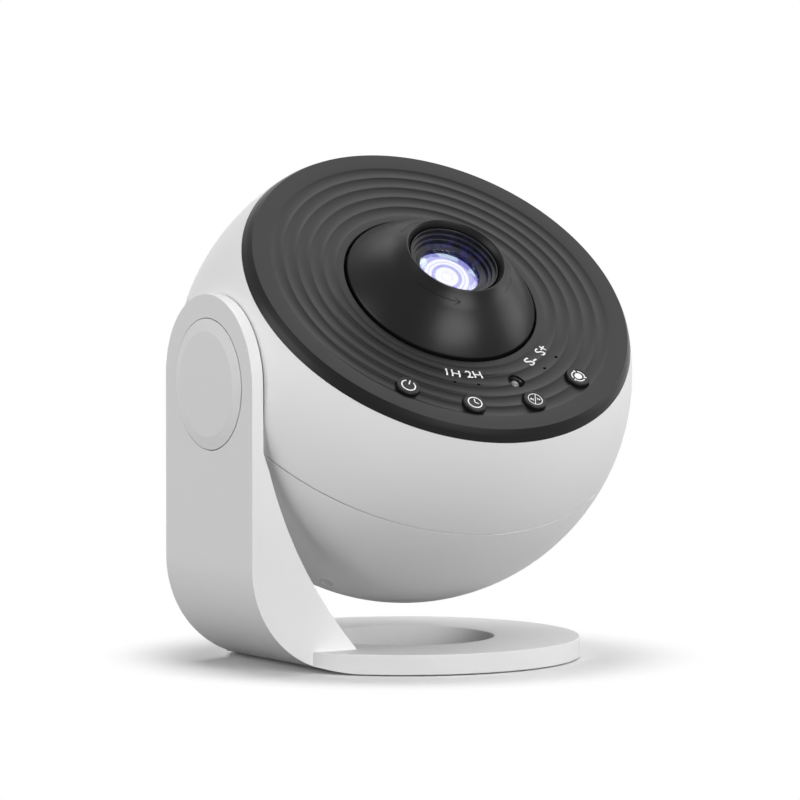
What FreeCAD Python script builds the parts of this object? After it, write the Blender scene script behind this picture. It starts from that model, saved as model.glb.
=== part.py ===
import FreeCAD, Part
import math
import os

# Tabletop planetarium projector: a ball-shaped head that turns on one side arm
# above a ring base. Millimetres, +Z up, origin on the floor below the ball's centre.
# The head is modelled upright about its own optical axis (+Z of the head frame,
# zero at the ball's centre, +Y to the rear) and is then leaned forward about the pivot.

# ---------------------------------------------------------------- clearances
running_gap = 0.05       # radial gap of a turning or sliding fit
fixed_gap = 0.02         # radial gap round screws, pins and glued or pressed pieces
moving_gap = 0.3         # between pieces that pass each other
button_gap = 0.15        # round a push button
head_gap = 0.15          # round a screw's head in its recess
face_gap = 0.1           # between flat faces that turn on each other
hole_end_gap = 0.1       # past a screw's end in a blind hole
overlap = 0.5            # how far a joined shape reaches into its neighbour
cut_over = 1.0           # how far a cutter reaches past what it cuts

# ---------------------------------------------------------------- ball and pivot
ball_radius = 65.0
wall = 2.4
pivot_height = 80.7
head_tilt = 39.5         # degrees, forward lean of the optical axis at rest
flat_cut = 5.4           # depth of the flat that faces the arm, below the ball's surface
flat_wall = 2.0
seam_gap = 0.3
lip_height = 1.8
lip_depth = 4.0
lip_wall = 1.5

# ---------------------------------------------------------------- stand
arm_width = 49.0
arm_thickness = 3.6
arm_crown = 0.9           # centre of the arm's round end above the pivot
base_radius = 50.2
base_hole_radius = 25.8
base_thickness = 5.8
base_round = 0.4
bend_radius = 30.0
gusset_top = 15.0        # where the brace leaves the arm, below the pivot
gusset_foot = 4.0        # from the bend's end to the brace's toe on the base
gusset_bow = 4.4         # how far the brace's curve sinks below a straight line
ball_relief = 2.0        # gap between the ball and the brace
arm_round = 0.5
foot_proud = 0.3
foot_thickness = 1.0
foot_width = 5.6
foot_edge = 1.8          # from the base's hole to the pad

# ---------------------------------------------------------------- arm cap and pivot parts
cap_radius = 18.5
cap_gap = 0.25
cap_recess = 2.0
cap_proud = 1.0
cap_edge_proud = 0.3
cap_bevel = 2.7
cap_skin = 1.0
cap_wall = 1.8
spigot_radius = 6.0
neck_radius = 12.0
axle_flange_radius = 16.0
axle_flange_thickness = 2.4
axle_bore_radius = 3.5
spring_inset = 0.5       # spring washer's edge inside the axle's flange
washer_thickness = 0.6
spring_thickness = 0.5
pivot_screw_circle = 9.2
pivot_screw_length = 5.5

# ---------------------------------------------------------------- screws: shank, head, height
screw_shank = 1.1
screw_head = 1.9
screw_head_height = 1.2
small_shank = 0.8
small_head = 1.5
small_head_height = 1.0

# ---------------------------------------------------------------- shell screws
shell_screw_inset = 10.94  # from the ball's inner wall
shell_screw_turn = 54.77   # degrees from the pivot's axis
shell_tube_radius = 3.3
shell_rib = 1.8
shell_boss_height = 14.0
shell_screw_seat = 9.0   # depth of the screw head's seat below the seam
shell_screw_bite = 7.5
recess_radius = 2.0

# ---------------------------------------------------------------- face plate
plate_drop = 35.85       # from the ball's top down to the plate's seat
plate_rim_thickness = 3.4
plate_thickness = 2.4
plate_rim_width = 1.1    # of the part of the rim that follows the ball
plate_edge_width = 1.0   # of the slanting edge inside it
plate_border = 5.25      # flat border between that edge and the ripples
plate_lap = 6.9          # how much of the plate lies on its seat
shell_edge_break = 0.35
ripple_first = 30.75
ripple_count = 5
ripple_depth = 0.35
well_radius = 28.55
well_break = 0.3
shell_flange_gap = 0.6   # between the seat's inner edge and the plate's step
shell_flange_thickness = 2.5
plate_screw_inset = 2.2  # from the seat's inner edge
plate_screw_bite = 2.0
plate_screw_turn = 0.0   # degrees, place of the first plate screw

# ---------------------------------------------------------------- push buttons
button_inset = 4.7       # from the plate's step to the buttons' circle
button_angles = (("power", -126.6), ("timer", -102.2), ("colour", -77.8), ("light", -53.4))
button_radius = 3.45
button_proud = 0.85
button_break = 0.25
button_flange_radius = 4.2
button_flange_thickness = 0.9
button_rest_gap = 0.25
button_travel = 0.6
stem_radius = 1.5
stem_length = 1.8
stem_gap = 0.2
switch_width = 6.0
switch_height = 3.4
stem_end_gap = 0.4       # below a stem that is pushed in

# ---------------------------------------------------------------- indicators and remote eye
lamp_inset = 8.7         # from the buttons' circle
lamp_angles = (-107.9, -97.0, -59.3, -48.5)
lamp_hole_radius = 0.5
lamp_sink = 0.8
lamp_chip = (1.6, 1.0, 0.6)
eye_angle = -78.0
eye_hole_radius = 2.5
eye_gap = 0.08
eye_flange_radius = 3.2
eye_flange_thickness = 0.85
eye_sink = 1.6
eye_dome = 0.5
eye_block_width = 5.0
eye_block_gap = 0.4      # below the window's flange

# ---------------------------------------------------------------- control board
board_inner = 31.4
board_edge_gap = 3.2     # between the board and the plate's step
board_start = -146.0
board_end = -34.0
board_thickness = 1.4
board_side_posts = 35.5  # radius of the two posts near the board's ends
board_side_turn = 47.0   # degrees of those posts to each side of the front
board_front_inset = 3.5  # front post from the board's edge
board_post_radius = 2.2
board_screw_bite = 4.0

# ---------------------------------------------------------------- lens well
well_wall = 1.8
well_depth = 3.15        # well floor below the plate's underside
well_floor = 2.5
ear_circle = 34.75
ear_radius = 2.8
ear_thickness = 2.0
ear_screw_bite = 1.5
ear_angles = (30.0, 150.0, 270.0)
post_circle = 27.0
post_radius = 2.7
post_screw_bite = 7.0

# ---------------------------------------------------------------- focus cone
cone_gap = 0.6           # visible ring gap round the cone
cone_height = 13.95      # cone rim above the plate
cone_rim_radius = 14.5
cone_rim_width = 0.4
cone_waist_radius = 18.5 # where the flank turns from bulging to hollow
cone_waist_height = 10.1 # above the plate
cone_bulge = 0.55        # of the flank's lower part
cone_sink = 0.15         # of the flank's upper part
cone_wall = 1.8
cone_shoulder = 0.6      # straight part of the cone above the plate
skirt_wall = 1.25
skirt_lift = 0.4         # skirt's lower edge above the well floor
lip_drop = 1.9
lip_radius = 13.35
lip_step = 0.2           # from the lip's bore out to the sleeve's
sleeve_dip = 0.3         # sleeve's bore ends this far into the lens travel
sleeve_wall = 2.0
sleeve_lift = 1.2        # sleeve's lower edge above the mount's flange
snap_bead = 0.5
snap_height = 0.6
snap_gap = 0.2
snap_level = 1.2         # bead above the mount's flange

# ---------------------------------------------------------------- lens mount
mount_flange = 1.8
mount_rim_height = 2.2
mount_rim_wall = 1.5
plug_radius = 20.0
plug_wall = 2.0
plug_length = 4.5
guide_top = 9.0          # guide tube's top above the well floor
guide_bottom = 3.0       # guide tube's lower edge below the well floor

# ---------------------------------------------------------------- lens barrel
barrel_head_radius = 13.0
barrel_head_length = 5.7
barrel_radius = 11.6
barrel_length = 18.9
barrel_drop = 1.9        # barrel's top edge below the cone's rim
baffle_count = 4
baffle_pitch = 0.85
baffle_drop = 1.2
baffle_first = 12.65
baffle_groove = 0.3
baffle_end = 0.7         # from the last baffle down to the lens opening
aperture_land = 0.3      # straight part of the lens opening
lens_radius = 9.8
lens_edge = 2.7
lens_crown = 1.3
lens_shoulder = 0.9
spacer_length = 4.4
spacer_wall = 1.4
rear_lens_edge = 3.0
rear_lens_crown = 0.8
retainer_length = 2.3
retainer_wall = 1.8
pin_radius = 0.8
pin_level = 7.0          # pins above the well floor
pin_side_gap = 0.15
focus_turn = 60.0        # degrees each way
focus_travel = 1.5       # lens travel each way
groove_step = 3.0        # degrees between cuts of the cam groove
groove_depth = 1.3

# ---------------------------------------------------------------- film drive
gear_module = 0.8
carrier_teeth = 56
pinion_teeth = 12
gear_backlash = 0.24
pressure_angle = 20.0
gear_width = 2.4
carrier_drop = 9.9       # carrier's gear below the well's underside, to the gear's lower face
carrier_bore = 16.5
carrier_hub_radius = 19.0
carrier_hub_wall = 1.6
carrier_hub_height = 2.4
disc_radius = 18.5
disc_thickness = 1.2
disc_gap = 0.1
rim_wall = 2.4
rim_height = 1.7
clip_width = 0.95
clip_thickness = 0.35
motor_angle = 90.0
pinion_hub_radius = 2.6
pinion_hub_height = 1.0
shaft_radius = 1.0
shaft_top = 1.0
shaft_length = 15.5
motor_radius = 7.75
motor_length = 14.5
motor_bush_radius = 3.0
motor_screw_spread = 5.4
motor_screw_bite = 3.0

# ---------------------------------------------------------------- optics frame and lamp
deck_radius = 36.0
deck_thickness = 2.4
deck_hole = 12.0
bearing_wall = 1.75
bearing_height = 2.1
hook_angles = (0.0, 120.0, 240.0)
hook_inner = 24.6
hook_wall = 1.8
hook_reach = 2.4
hook_thickness = 1.2
hook_sweep = 12.0
tube_inner = 13.2
tube_wall = 2.0
tube_length = 15.6
condenser_edge = 2.2
condenser_crown = 3.9
condenser_clip_length = 2.6
condenser_clip_wall = 1.4
lamp_ear_circle = 17.0
lamp_ear_radius = 2.2
lamp_ear_height = 7.0
lamp_board_radius = 19.2
lamp_board_thickness = 1.6
lamp_body = 5.0
lamp_body_height = 0.9
lamp_dome_radius = 1.7
lamp_dome_height = 1.1
sink_base = 4.0
sink_depth = 14.5
fin_thickness = 1.5
fin_pitch = 4.2
fin_count = 9
lamp_screw_bite = 4.0

# ---------------------------------------------------------------- power inlet
inlet_level = -30.0      # height in the head frame
inlet_sink = 3.06        # inlet's recessed face below the ball's surface
inlet_proud = 0.2        # socket in front of that face
inlet_pad_width = 19.0
inlet_pad_height = 12.0
inlet_pad_wall = 2.0
inlet_pocket_width = 15.0
inlet_pocket_height = 7.6
inlet_width = 9.0
inlet_height = 3.2
inlet_shell = 0.35
inlet_length = 8.0
inlet_gap = 0.12
inlet_tongue = 0.7
inlet_tongue_sink = 1.0
power_board_width = 17.0
power_board_length = 15.0
power_board_thickness = 1.2
power_post_spread = 12.0
power_post_inset = 3.0   # posts from the board's inner edge
power_post_radius = 2.1
power_screw_bite = 4.0
power_chip = (6.0, 5.0, 1.4)

# ---------------------------------------------------------------- wiring
cable_radius = 0.9
cable_drop = 7.7         # run across the ball to the lamp, below the deck
motor_cable_drop = 4.2   # run to the motor, below the motor
cable_side = 40.0        # sideways reach of the power cable
power_cable_x = 7.2
power_cable_inset = 7.2  # from the power board's inner edge
power_cable_edge = 5.0   # from the control board's edge
power_cable_turn = -56.0
lamp_cable_edge = 4.0    # outside the deck
lamp_cable_turn = -120.0
lamp_cable_circle = 17.2
lamp_cable_end_turn = -150.0
motor_cable_edge = 4.0   # from the control board's edge
motor_cable_turn = -136.0
motor_cable_x = -4.0

# ---------------------------------------------------------------- derived places
X_AXIS = FreeCAD.Vector(1, 0, 0)
Z_AXIS = FreeCAD.Vector(0, 0, 1)
ORIGIN = FreeCAD.Vector(0, 0, 0)

flat_distance = ball_radius - flat_cut
arm_inner = -(flat_distance + moving_gap)
arm_outer = arm_inner - arm_thickness
bend_end = arm_outer + bend_radius
gusset_toe = bend_end + gusset_foot
base_bottom = foot_proud
base_top = base_bottom + base_thickness
flat_inside = flat_distance - flat_wall
inner_radius = ball_radius - wall

plate_seat_z = ball_radius - plate_drop
plate_radius = math.sqrt(ball_radius**2 - plate_seat_z**2)
plate_break_radius = plate_radius - plate_rim_width
plate_flat_radius = plate_break_radius - plate_edge_width
plate_ledge_radius = plate_radius - plate_lap
shell_flange_inner = plate_ledge_radius + shell_flange_gap
plate_screw_circle = shell_flange_inner + plate_screw_inset
ripple_pitch = (plate_flat_radius - plate_border - ripple_first) / ripple_count
button_circle = plate_ledge_radius - button_inset
lamp_circle = button_circle - lamp_inset
board_outer = plate_ledge_radius - board_edge_gap
plate_top_z = plate_seat_z + plate_rim_thickness
plate_under_z = plate_top_z - plate_thickness
well_floor_z = plate_under_z - well_depth
well_under_z = well_floor_z - well_floor
cone_radius = well_radius - cone_gap
cone_rim_z = plate_top_z + cone_height
skirt_inner = cone_radius - skirt_wall
mount_top_z = well_floor_z + mount_flange
mount_radius = skirt_inner - moving_gap
guide_outer = lip_radius - lip_step - running_gap
guide_inner = barrel_radius + running_gap
sleeve_inner = guide_outer + running_gap
sleeve_outer = sleeve_inner + sleeve_wall
guide_top_z = well_floor_z + guide_top
barrel_top_z = cone_rim_z - barrel_drop
lens_seat_z = barrel_top_z - (baffle_count - 1) * baffle_drop - baffle_end
pin_z = well_floor_z + pin_level

gear_bottom_z = well_under_z - carrier_drop
gear_top_z = gear_bottom_z + gear_width
deck_top_z = gear_bottom_z - carrier_hub_height - face_gap
deck_bottom_z = deck_top_z - deck_thickness
carrier_pitch = gear_module * carrier_teeth / 2
pinion_pitch = gear_module * pinion_teeth / 2
motor_distance = carrier_pitch + pinion_pitch
tube_outer = tube_inner + tube_wall
tube_bottom_z = deck_bottom_z - tube_length
lamp_board_bottom_z = tube_bottom_z - lamp_board_thickness
sink_bottom_z = lamp_board_bottom_z - sink_base
button_flange_top_z = plate_under_z - button_rest_gap
button_flange_z = button_flange_top_z - button_flange_thickness
switch_top_z = button_flange_z - button_travel - moving_gap
board_top_z = switch_top_z - switch_height
board_bottom_z = board_top_z - board_thickness
inlet_face = math.sqrt(ball_radius**2 - inlet_level**2) - inlet_sink
inlet_board_top_z = inlet_level - inlet_height / 2
inlet_board_bottom_z = inlet_board_top_z - power_board_thickness


# ---------------------------------------------------------------- general tools
def polar(radius, angle, z=0.0):
    """A point at a radius and an angle in degrees about +Z."""
    a = math.radians(angle)
    return FreeCAD.Vector(radius * math.cos(a), radius * math.sin(a), z)


def cylinder(radius, z0, z1, at=(0.0, 0.0)):
    """An upright cylinder from z0 to z1."""
    return Part.makeCylinder(radius, z1 - z0, FreeCAD.Vector(at[0], at[1], z0), Z_AXIS)


def box(x0, x1, y0, y1, z0, z1):
    return Part.makeBox(x1 - x0, y1 - y0, z1 - z0, FreeCAD.Vector(x0, y0, z0))


def outline(points, plane="XZ"):
    """Closed wire of (u, v) corners; a (via_u, via_v, u, v) entry is an arc's middle and end."""

    def vec(u, v):
        return FreeCAD.Vector(u, 0, v) if plane == "XZ" else FreeCAD.Vector(u, v, 0)

    start = vec(points[0][0], points[0][1])
    here = start
    edges = []
    for point in list(points[1:]) + [points[0][:2]]:
        end = vec(point[-2], point[-1])
        if len(point) == 4:
            edges.append(Part.Arc(here, vec(point[0], point[1]), end).toShape())
        elif (end - here).Length > 1e-7:
            edges.append(Part.LineSegment(here, end).toShape())
        here = end
    return Part.Wire(edges)


def lathe(points):
    """Solid of revolution about Z from (radius, height) points."""
    return Part.Face(outline(points)).revolve(ORIGIN, Z_AXIS, 360)


def lathe_x(points):
    """Solid of revolution about X; points are (radius, position along X)."""
    turned = lathe(points)
    turned.rotate(ORIGIN, FreeCAD.Vector(0, 1, 0), 90)
    return turned


def ring(inner, outer, z0, z1):
    return lathe([(inner, z0), (outer, z0), (outer, z1), (inner, z1)])


def crown(radius, edge_z, rise):
    """Middle and end (via_r, via_z, r, z) of a lens face from its edge to its axis."""
    sphere = (radius**2 + rise**2) / (2 * rise)
    half = math.asin(radius / sphere) / 2
    return (sphere * math.sin(half), edge_z + rise - sphere * (1 - math.cos(half)), 0.0, edge_z + rise)


def screw(at, seat_z, bite, up, shank=screw_shank, head=screw_head, height=screw_head_height):
    """Pan-head screw; the shank runs from the seat up (+1) or down (-1), head on the other side."""
    x, y = at
    ends = sorted((seat_z, seat_z + up * bite))
    caps = sorted((seat_z, seat_z - up * height))
    body = cylinder(shank, ends[0], ends[1], (x, y)).fuse(cylinder(head, caps[0], caps[1], (x, y)))
    slot_z = caps[0] if up > 0 else caps[1] - height / 2
    slot = cylinder(head * 0.45, slot_z, slot_z + height / 2, (x, y))
    return body.cut(slot).removeSplitter()


def screw_hole(at, z0, z1, shank=screw_shank):
    return cylinder(shank + fixed_gap, min(z0, z1), max(z0, z1), at)


def in_head(shape):
    """Lean a head-frame shape forward and lift it to the pivot."""
    placed = shape.copy()
    placed.rotate(ORIGIN, X_AXIS, head_tilt)
    placed.translate(FreeCAD.Vector(0, 0, pivot_height))
    return placed


def at_pivot(shape):
    """Lift an upright shape from the origin to the pivot's height."""
    placed = shape.copy()
    placed.translate(FreeCAD.Vector(0, 0, pivot_height))
    return placed


def group(shapes):
    """Several separate solids kept together as one node."""
    return Part.makeCompound(shapes)


# ---------------------------------------------------------------- stand
def arm_profile():
    """Side view of arm, bend and brace, in X and Z."""
    corner = bend_radius * (1 - math.sqrt(0.5))
    gusset_z = pivot_height - gusset_top
    run = gusset_toe - arm_inner
    drop = gusset_z - base_top
    chord = math.hypot(run, drop)
    bow_x = (arm_inner + gusset_toe) / 2 - gusset_bow * drop / chord
    bow_z = (gusset_z + base_top) / 2 - gusset_bow * run / chord
    return [
        (arm_outer, pivot_height + arm_crown),
        (arm_outer, base_bottom + bend_radius),
        (arm_outer + corner, base_bottom + corner, bend_end, base_bottom),
        (gusset_toe, base_bottom),
        (gusset_toe, base_top),
        (bow_x, bow_z, arm_inner, gusset_z),
        (arm_inner, pivot_height + arm_crown),
    ]


def under_bend():
    """Room outside the bend's curve, which also cuts the base ring."""
    corner = bend_radius * (1 - math.sqrt(0.5))
    side = Part.Face(outline([
        (arm_outer, base_bottom + bend_radius),
        (arm_outer + corner, base_bottom + corner, bend_end, base_bottom),
        (bend_end, base_bottom - cut_over),
        (arm_outer - cut_over, base_bottom - cut_over),
        (arm_outer - cut_over, base_bottom + bend_radius),
    ]))
    side.translate(FreeCAD.Vector(0, -base_radius, 0))
    return side.extrude(FreeCAD.Vector(0, 2 * base_radius, 0))


def pivot_screw_places():
    return [polar(pivot_screw_circle, 90 + 120 * i) for i in range(3)]


def along_x(shape):
    """Turn an upright shape so that its +Z points along +X."""
    turned = shape.copy()
    turned.rotate(ORIGIN, FreeCAD.Vector(0, 1, 0), 90)
    return turned


def make_stand():
    half = arm_width / 2
    side = Part.Face(outline(arm_profile()))
    side.translate(FreeCAD.Vector(0, -half, 0))
    arm = side.extrude(FreeCAD.Vector(0, arm_width, 0))
    disc = at_pivot(along_x(cylinder(half, arm_outer, arm_inner)))
    disc.translate(FreeCAD.Vector(0, 0, arm_crown))
    arm = arm.fuse(disc).removeSplitter()
    soft = [e for e in arm.Edges if is_arm_edge(e, half)]
    arm = arm.makeFillet(arm_round, soft)
    rim = base_radius - base_round
    turn = base_round * math.sqrt(0.5)
    base = lathe([
        (base_hole_radius, base_bottom),
        (base_radius - base_round / 2, base_bottom),
        (base_radius, base_bottom + base_round / 2),
        (base_radius, base_top - base_round),
        (rim + turn, base_top - base_round + turn, rim, base_top),
        (base_hole_radius + base_round / 2, base_top),
        (base_hole_radius, base_top - base_round / 2),
    ])
    stand = arm.fuse(base.cut(under_bend()))
    room = Part.makeSphere(ball_radius + ball_relief)
    room = room.common(box(arm_inner, 0, -ball_radius, ball_radius, -2 * ball_radius, 2 * ball_radius))
    pad_inner = base_hole_radius + foot_edge
    pad = ring(pad_inner - fixed_gap, pad_inner + foot_width + fixed_gap, 0, foot_thickness)
    recess = along_x(cylinder(cap_radius + cap_gap, arm_outer - cut_over, arm_outer + cap_recess))
    bore = along_x(cylinder(spigot_radius + fixed_gap, arm_outer, arm_inner))
    holes = [along_x(screw_hole((p.x, p.y), arm_outer, arm_inner)) for p in pivot_screw_places()]
    cuts = [at_pivot(s) for s in [room, recess, bore] + holes]
    return stand.cut(cuts + [pad]).removeSplitter()


def is_arm_edge(edge, half):
    """Long edges along the arm's two sides and round its top, but none at the base."""
    middle = edge.valueAt((edge.FirstParameter + edge.LastParameter) / 2)
    on_side = abs(abs(middle.y) - half) < 0.01 and middle.z < pivot_height
    on_top = middle.z > pivot_height + half / 2
    on_toe = abs(middle.x - gusset_toe) < 0.01 or abs(middle.z - base_bottom) < 0.01
    return (on_side or on_top) and not on_toe


def make_foot_pad():
    pad_inner = base_hole_radius + foot_edge
    return ring(pad_inner, pad_inner + foot_width, 0, foot_thickness)


def make_arm_cap():
    front = arm_outer - cap_proud
    edge = arm_outer - cap_edge_proud
    floor = arm_outer + cap_recess
    hollow = front + cap_skin
    return at_pivot(lathe_x([
        (0, front),
        (cap_radius - cap_bevel, front),
        (cap_radius, edge),
        (cap_radius, floor),
        (cap_radius - cap_wall, floor),
        (cap_radius - cap_wall, hollow),
        (0, hollow),
    ]))


def axle_flange_x():
    """Face of the axle's flange that presses on the spring washer."""
    return -flat_inside + washer_thickness + face_gap + spring_thickness


def make_pivot_axle():
    inner = axle_flange_x()
    back = inner + axle_flange_thickness
    outer = arm_outer + cap_recess
    axle = lathe_x([
        (axle_bore_radius, outer),
        (spigot_radius, outer),
        (spigot_radius, arm_inner),
        (neck_radius, arm_inner),
        (neck_radius, inner),
        (axle_flange_radius, inner),
        (axle_flange_radius, back),
        (axle_bore_radius, back),
    ])
    holes = [along_x(screw_hole((p.x, p.y), outer, back)) for p in pivot_screw_places()]
    return at_pivot(axle.cut(holes))


def make_pivot_screws():
    seat = arm_outer + cap_recess
    screws = [screw((p.x, p.y), seat, pivot_screw_length, 1) for p in pivot_screw_places()]
    return group([at_pivot(along_x(s)) for s in screws])


def make_spring_washer():
    inner = axle_flange_x()
    washer = ring(neck_radius + fixed_gap, axle_flange_radius - spring_inset, inner - spring_thickness, inner)
    return at_pivot(along_x(washer))


def make_friction_washer():
    washer = ring(neck_radius + moving_gap, axle_flange_radius, -flat_inside, -flat_inside + washer_thickness)
    return at_pivot(along_x(washer))


# ---------------------------------------------------------------- ball shells
def shell_screw_places():
    circle = inner_radius - shell_screw_inset
    turns = (shell_screw_turn, 180 - shell_screw_turn, 180 + shell_screw_turn, -shell_screw_turn)
    points = [polar(circle, t) for t in turns]
    return [(p.x, p.y) for p in points]


def hollow_ball():
    """Whole ball wall with the arm's flat and the pivot bore."""
    far = 2 * ball_radius
    outer = Part.makeSphere(ball_radius).common(box(-flat_distance, far, -far, far, -far, far))
    inner = Part.makeSphere(inner_radius).common(box(-flat_inside, far, -far, far, -far, far))
    bore = along_x(cylinder(neck_radius + running_gap, -far, 0))
    return outer, inner, outer.cut([inner, bore])


def wall_rib(x, y, z0, z1, inner):
    """Upright web from a screw post out to the ball's wall."""
    reach = math.hypot(x, y)
    rib = box(reach, ball_radius, -shell_rib / 2, shell_rib / 2, z0, z1)
    rib.rotate(ORIGIN, Z_AXIS, math.degrees(math.atan2(y, x)))
    return rib.common(inner)


def make_upper_shell():
    outer, inner, shell = hollow_ball()
    far = 2 * ball_radius
    shell = shell.common(box(-far, far, -far, far, seam_gap / 2, plate_seat_z))
    flange = ring(shell_flange_inner, far, plate_seat_z - shell_flange_thickness, plate_seat_z)
    flange = flange.common(inner)
    parts = [flange]
    holes = []
    for x, y in shell_screw_places():
        post = cylinder(shell_tube_radius, 0, shell_boss_height, (x, y))
        parts.append(post)
        parts.append(wall_rib(x, y, seam_gap / 2 + lip_height, shell_boss_height, inner))
        holes.append(screw_hole((x, y), 0, shell_screw_bite + hole_end_gap))
    shell = shell.fuse(parts)
    for x, y in plate_screw_places():
        holes.append(screw_hole((x, y), 0, plate_seat_z))
    ridge = ball_radius + cut_over
    low = plate_seat_z - shell_edge_break
    chamfer = lathe([
        (math.sqrt(ball_radius**2 - low**2), low),
        (ridge, low),
        (ridge, plate_seat_z + cut_over),
        (plate_radius - shell_edge_break - cut_over, plate_seat_z + cut_over),
        (plate_radius - shell_edge_break, plate_seat_z),
    ])
    return in_head(shell.cut(holes + [chamfer]).removeSplitter())


def locating_lip(inner):
    """Thin lip on the lower shell that stands up inside the upper one."""
    outer_r = inner_radius - moving_gap
    low = -lip_depth
    root = math.sqrt(inner_radius**2 - lip_depth**2) + wall / 2
    lip = lathe([
        (outer_r - lip_wall, low),
        (root, low),
        (root, -seam_gap / 2),
        (outer_r, -seam_gap / 2),
        (outer_r, lip_height),
        (outer_r - lip_wall, lip_height),
    ])
    far = 2 * ball_radius
    return lip.common(box(-flat_inside + moving_gap, far, -far, far, -far, far))


def make_lower_shell():
    outer, inner, shell = hollow_ball()
    far = 2 * ball_radius
    shell = shell.common(box(-far, far, -far, far, -far, -seam_gap / 2))
    parts = [locating_lip(inner)]
    holes = []
    for x, y in shell_screw_places():
        post = cylinder(shell_tube_radius, -far, 0, (x, y)).common(outer)
        parts.append(post)
        parts.append(wall_rib(x, y, -far, -lip_depth, inner))
        holes.append(cylinder(recess_radius, -far, -shell_screw_seat, (x, y)))
        holes.append(screw_hole((x, y), -shell_screw_seat, 0))
    pad = box(
        -inlet_pad_width / 2, inlet_pad_width / 2,
        inlet_face - inlet_pad_wall, far,
        inlet_level - inlet_pad_height / 2, inlet_level + inlet_pad_height / 2,
    )
    parts.append(pad.common(outer))
    parts += [p.common(outer) for p in power_posts()]
    holes.append(rounded_bar(inlet_pocket_width, inlet_pocket_height, inlet_face, far))
    slot_width = inlet_width + 2 * inlet_gap
    slot_height = inlet_height + 2 * inlet_gap
    holes.append(rounded_bar(slot_width, slot_height, 0, far))
    for x, y in power_post_places():
        holes.append(screw_hole((x, y), inlet_board_bottom_z - power_screw_bite, far, small_shank))
    return in_head(shell.fuse(parts).cut(holes).removeSplitter())


def make_shell_screws():
    bite = shell_screw_seat + shell_screw_bite
    head = recess_radius - head_gap
    return in_head(group([
        screw(at, -shell_screw_seat, bite, 1, head=head) for at in shell_screw_places()
    ]))


# ---------------------------------------------------------------- face plate
def plate_screw_places():
    turns = [plate_screw_turn + 90 * i for i in range(4)]
    points = [polar(plate_screw_circle, t) for t in turns]
    return [(p.x, p.y) for p in points]


def plate_profile():
    """Section of the plate: edge on the ball's surface, flat border and rippled middle."""
    break_z = math.sqrt(ball_radius**2 - plate_break_radius**2)
    middle = (math.asin(plate_radius / ball_radius) + math.asin(plate_break_radius / ball_radius)) / 2
    points = [
        (well_radius, plate_under_z),
        (well_radius, plate_top_z - well_break),
        (well_radius + well_break, plate_top_z),
        (ripple_first, plate_top_z),
    ]
    for i in range(ripple_count):
        start = ripple_first + i * ripple_pitch
        low = (start + ripple_pitch / 2, plate_top_z - ripple_depth)
        points.append(low + (start + ripple_pitch, plate_top_z))
    points += [
        (plate_flat_radius, plate_top_z),
        (plate_break_radius, break_z),
        (ball_radius * math.sin(middle), ball_radius * math.cos(middle), plate_radius, plate_seat_z),
        (plate_ledge_radius, plate_seat_z),
        (plate_ledge_radius, plate_under_z),
    ]
    return points


def make_face_plate():
    plate = lathe(plate_profile())
    root = plate_under_z + overlap
    posts = [cylinder(board_post_radius, board_top_z, root, at) for at in board_post_places()]
    plate = plate.fuse(posts)
    low = plate_under_z - cut_over
    high = plate_top_z + cut_over
    holes = []
    for name, angle in button_angles:
        p = polar(button_circle, angle)
        holes.append(cylinder(button_radius + button_gap, low, high, (p.x, p.y)))
    for angle in lamp_angles:
        p = polar(lamp_circle, angle)
        holes.append(cylinder(lamp_hole_radius, low, high, (p.x, p.y)))
    p = polar(lamp_circle, eye_angle)
    holes.append(cylinder(eye_hole_radius, low, high, (p.x, p.y)))
    for at in board_post_places():
        holes.append(screw_hole(at, board_top_z, board_top_z + board_screw_bite, small_shank))
    for at in plate_screw_places():
        holes.append(screw_hole(at, plate_seat_z, plate_seat_z + plate_screw_bite + hole_end_gap))
    for angle in ear_angles:
        p = polar(ear_circle, angle)
        end = plate_under_z + ear_screw_bite + hole_end_gap
        holes.append(screw_hole((p.x, p.y), plate_under_z, end, small_shank))
    return in_head(plate.cut(holes).removeSplitter())


def make_plate_screws():
    seat = plate_seat_z - shell_flange_thickness
    bite = shell_flange_thickness + plate_screw_bite
    return in_head(group([screw(at, seat, bite, 1, head=small_head) for at in plate_screw_places()]))


# ---------------------------------------------------------------- buttons, lamps, board
def make_button(angle):
    p = polar(button_circle, angle)
    top = plate_top_z + button_proud
    cap = lathe([
        (0, button_flange_z - stem_length),
        (stem_radius, button_flange_z - stem_length),
        (stem_radius, button_flange_z),
        (button_flange_radius, button_flange_z),
        (button_flange_radius, button_flange_top_z),
        (button_radius, button_flange_top_z),
        (button_radius, top - button_break),
        (button_radius - button_break, top),
        (0, top),
    ])
    cap.translate(FreeCAD.Vector(p.x, p.y, 0))
    return in_head(cap)


def make_switches():
    switches = []
    half = switch_width / 2
    low = button_flange_z - stem_length - button_travel - stem_end_gap
    for name, angle in button_angles:
        body = box(-half, half, -half, half, board_top_z, switch_top_z)
        body = body.cut(cylinder(stem_radius + stem_gap, low, switch_top_z))
        body.translate(FreeCAD.Vector(button_circle, 0, 0))
        body.rotate(ORIGIN, Z_AXIS, angle)
        switches.append(body)
    return in_head(group(switches))


def make_lamp_chips():
    length, width, height = lamp_chip
    chips = []
    for angle in lamp_angles:
        chip = box(-length / 2, length / 2, -width / 2, width / 2, board_top_z, board_top_z + height)
        chip.translate(FreeCAD.Vector(lamp_circle, 0, 0))
        chip.rotate(ORIGIN, Z_AXIS, angle)
        chips.append(chip)
    return in_head(group(chips))


def make_light_pipes():
    pipes = []
    for angle in lamp_angles:
        p = polar(lamp_circle, angle)
        bottom = board_top_z + lamp_chip[2]
        pipes.append(cylinder(lamp_hole_radius - fixed_gap, bottom, plate_top_z - lamp_sink, (p.x, p.y)))
    return in_head(group(pipes))


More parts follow.
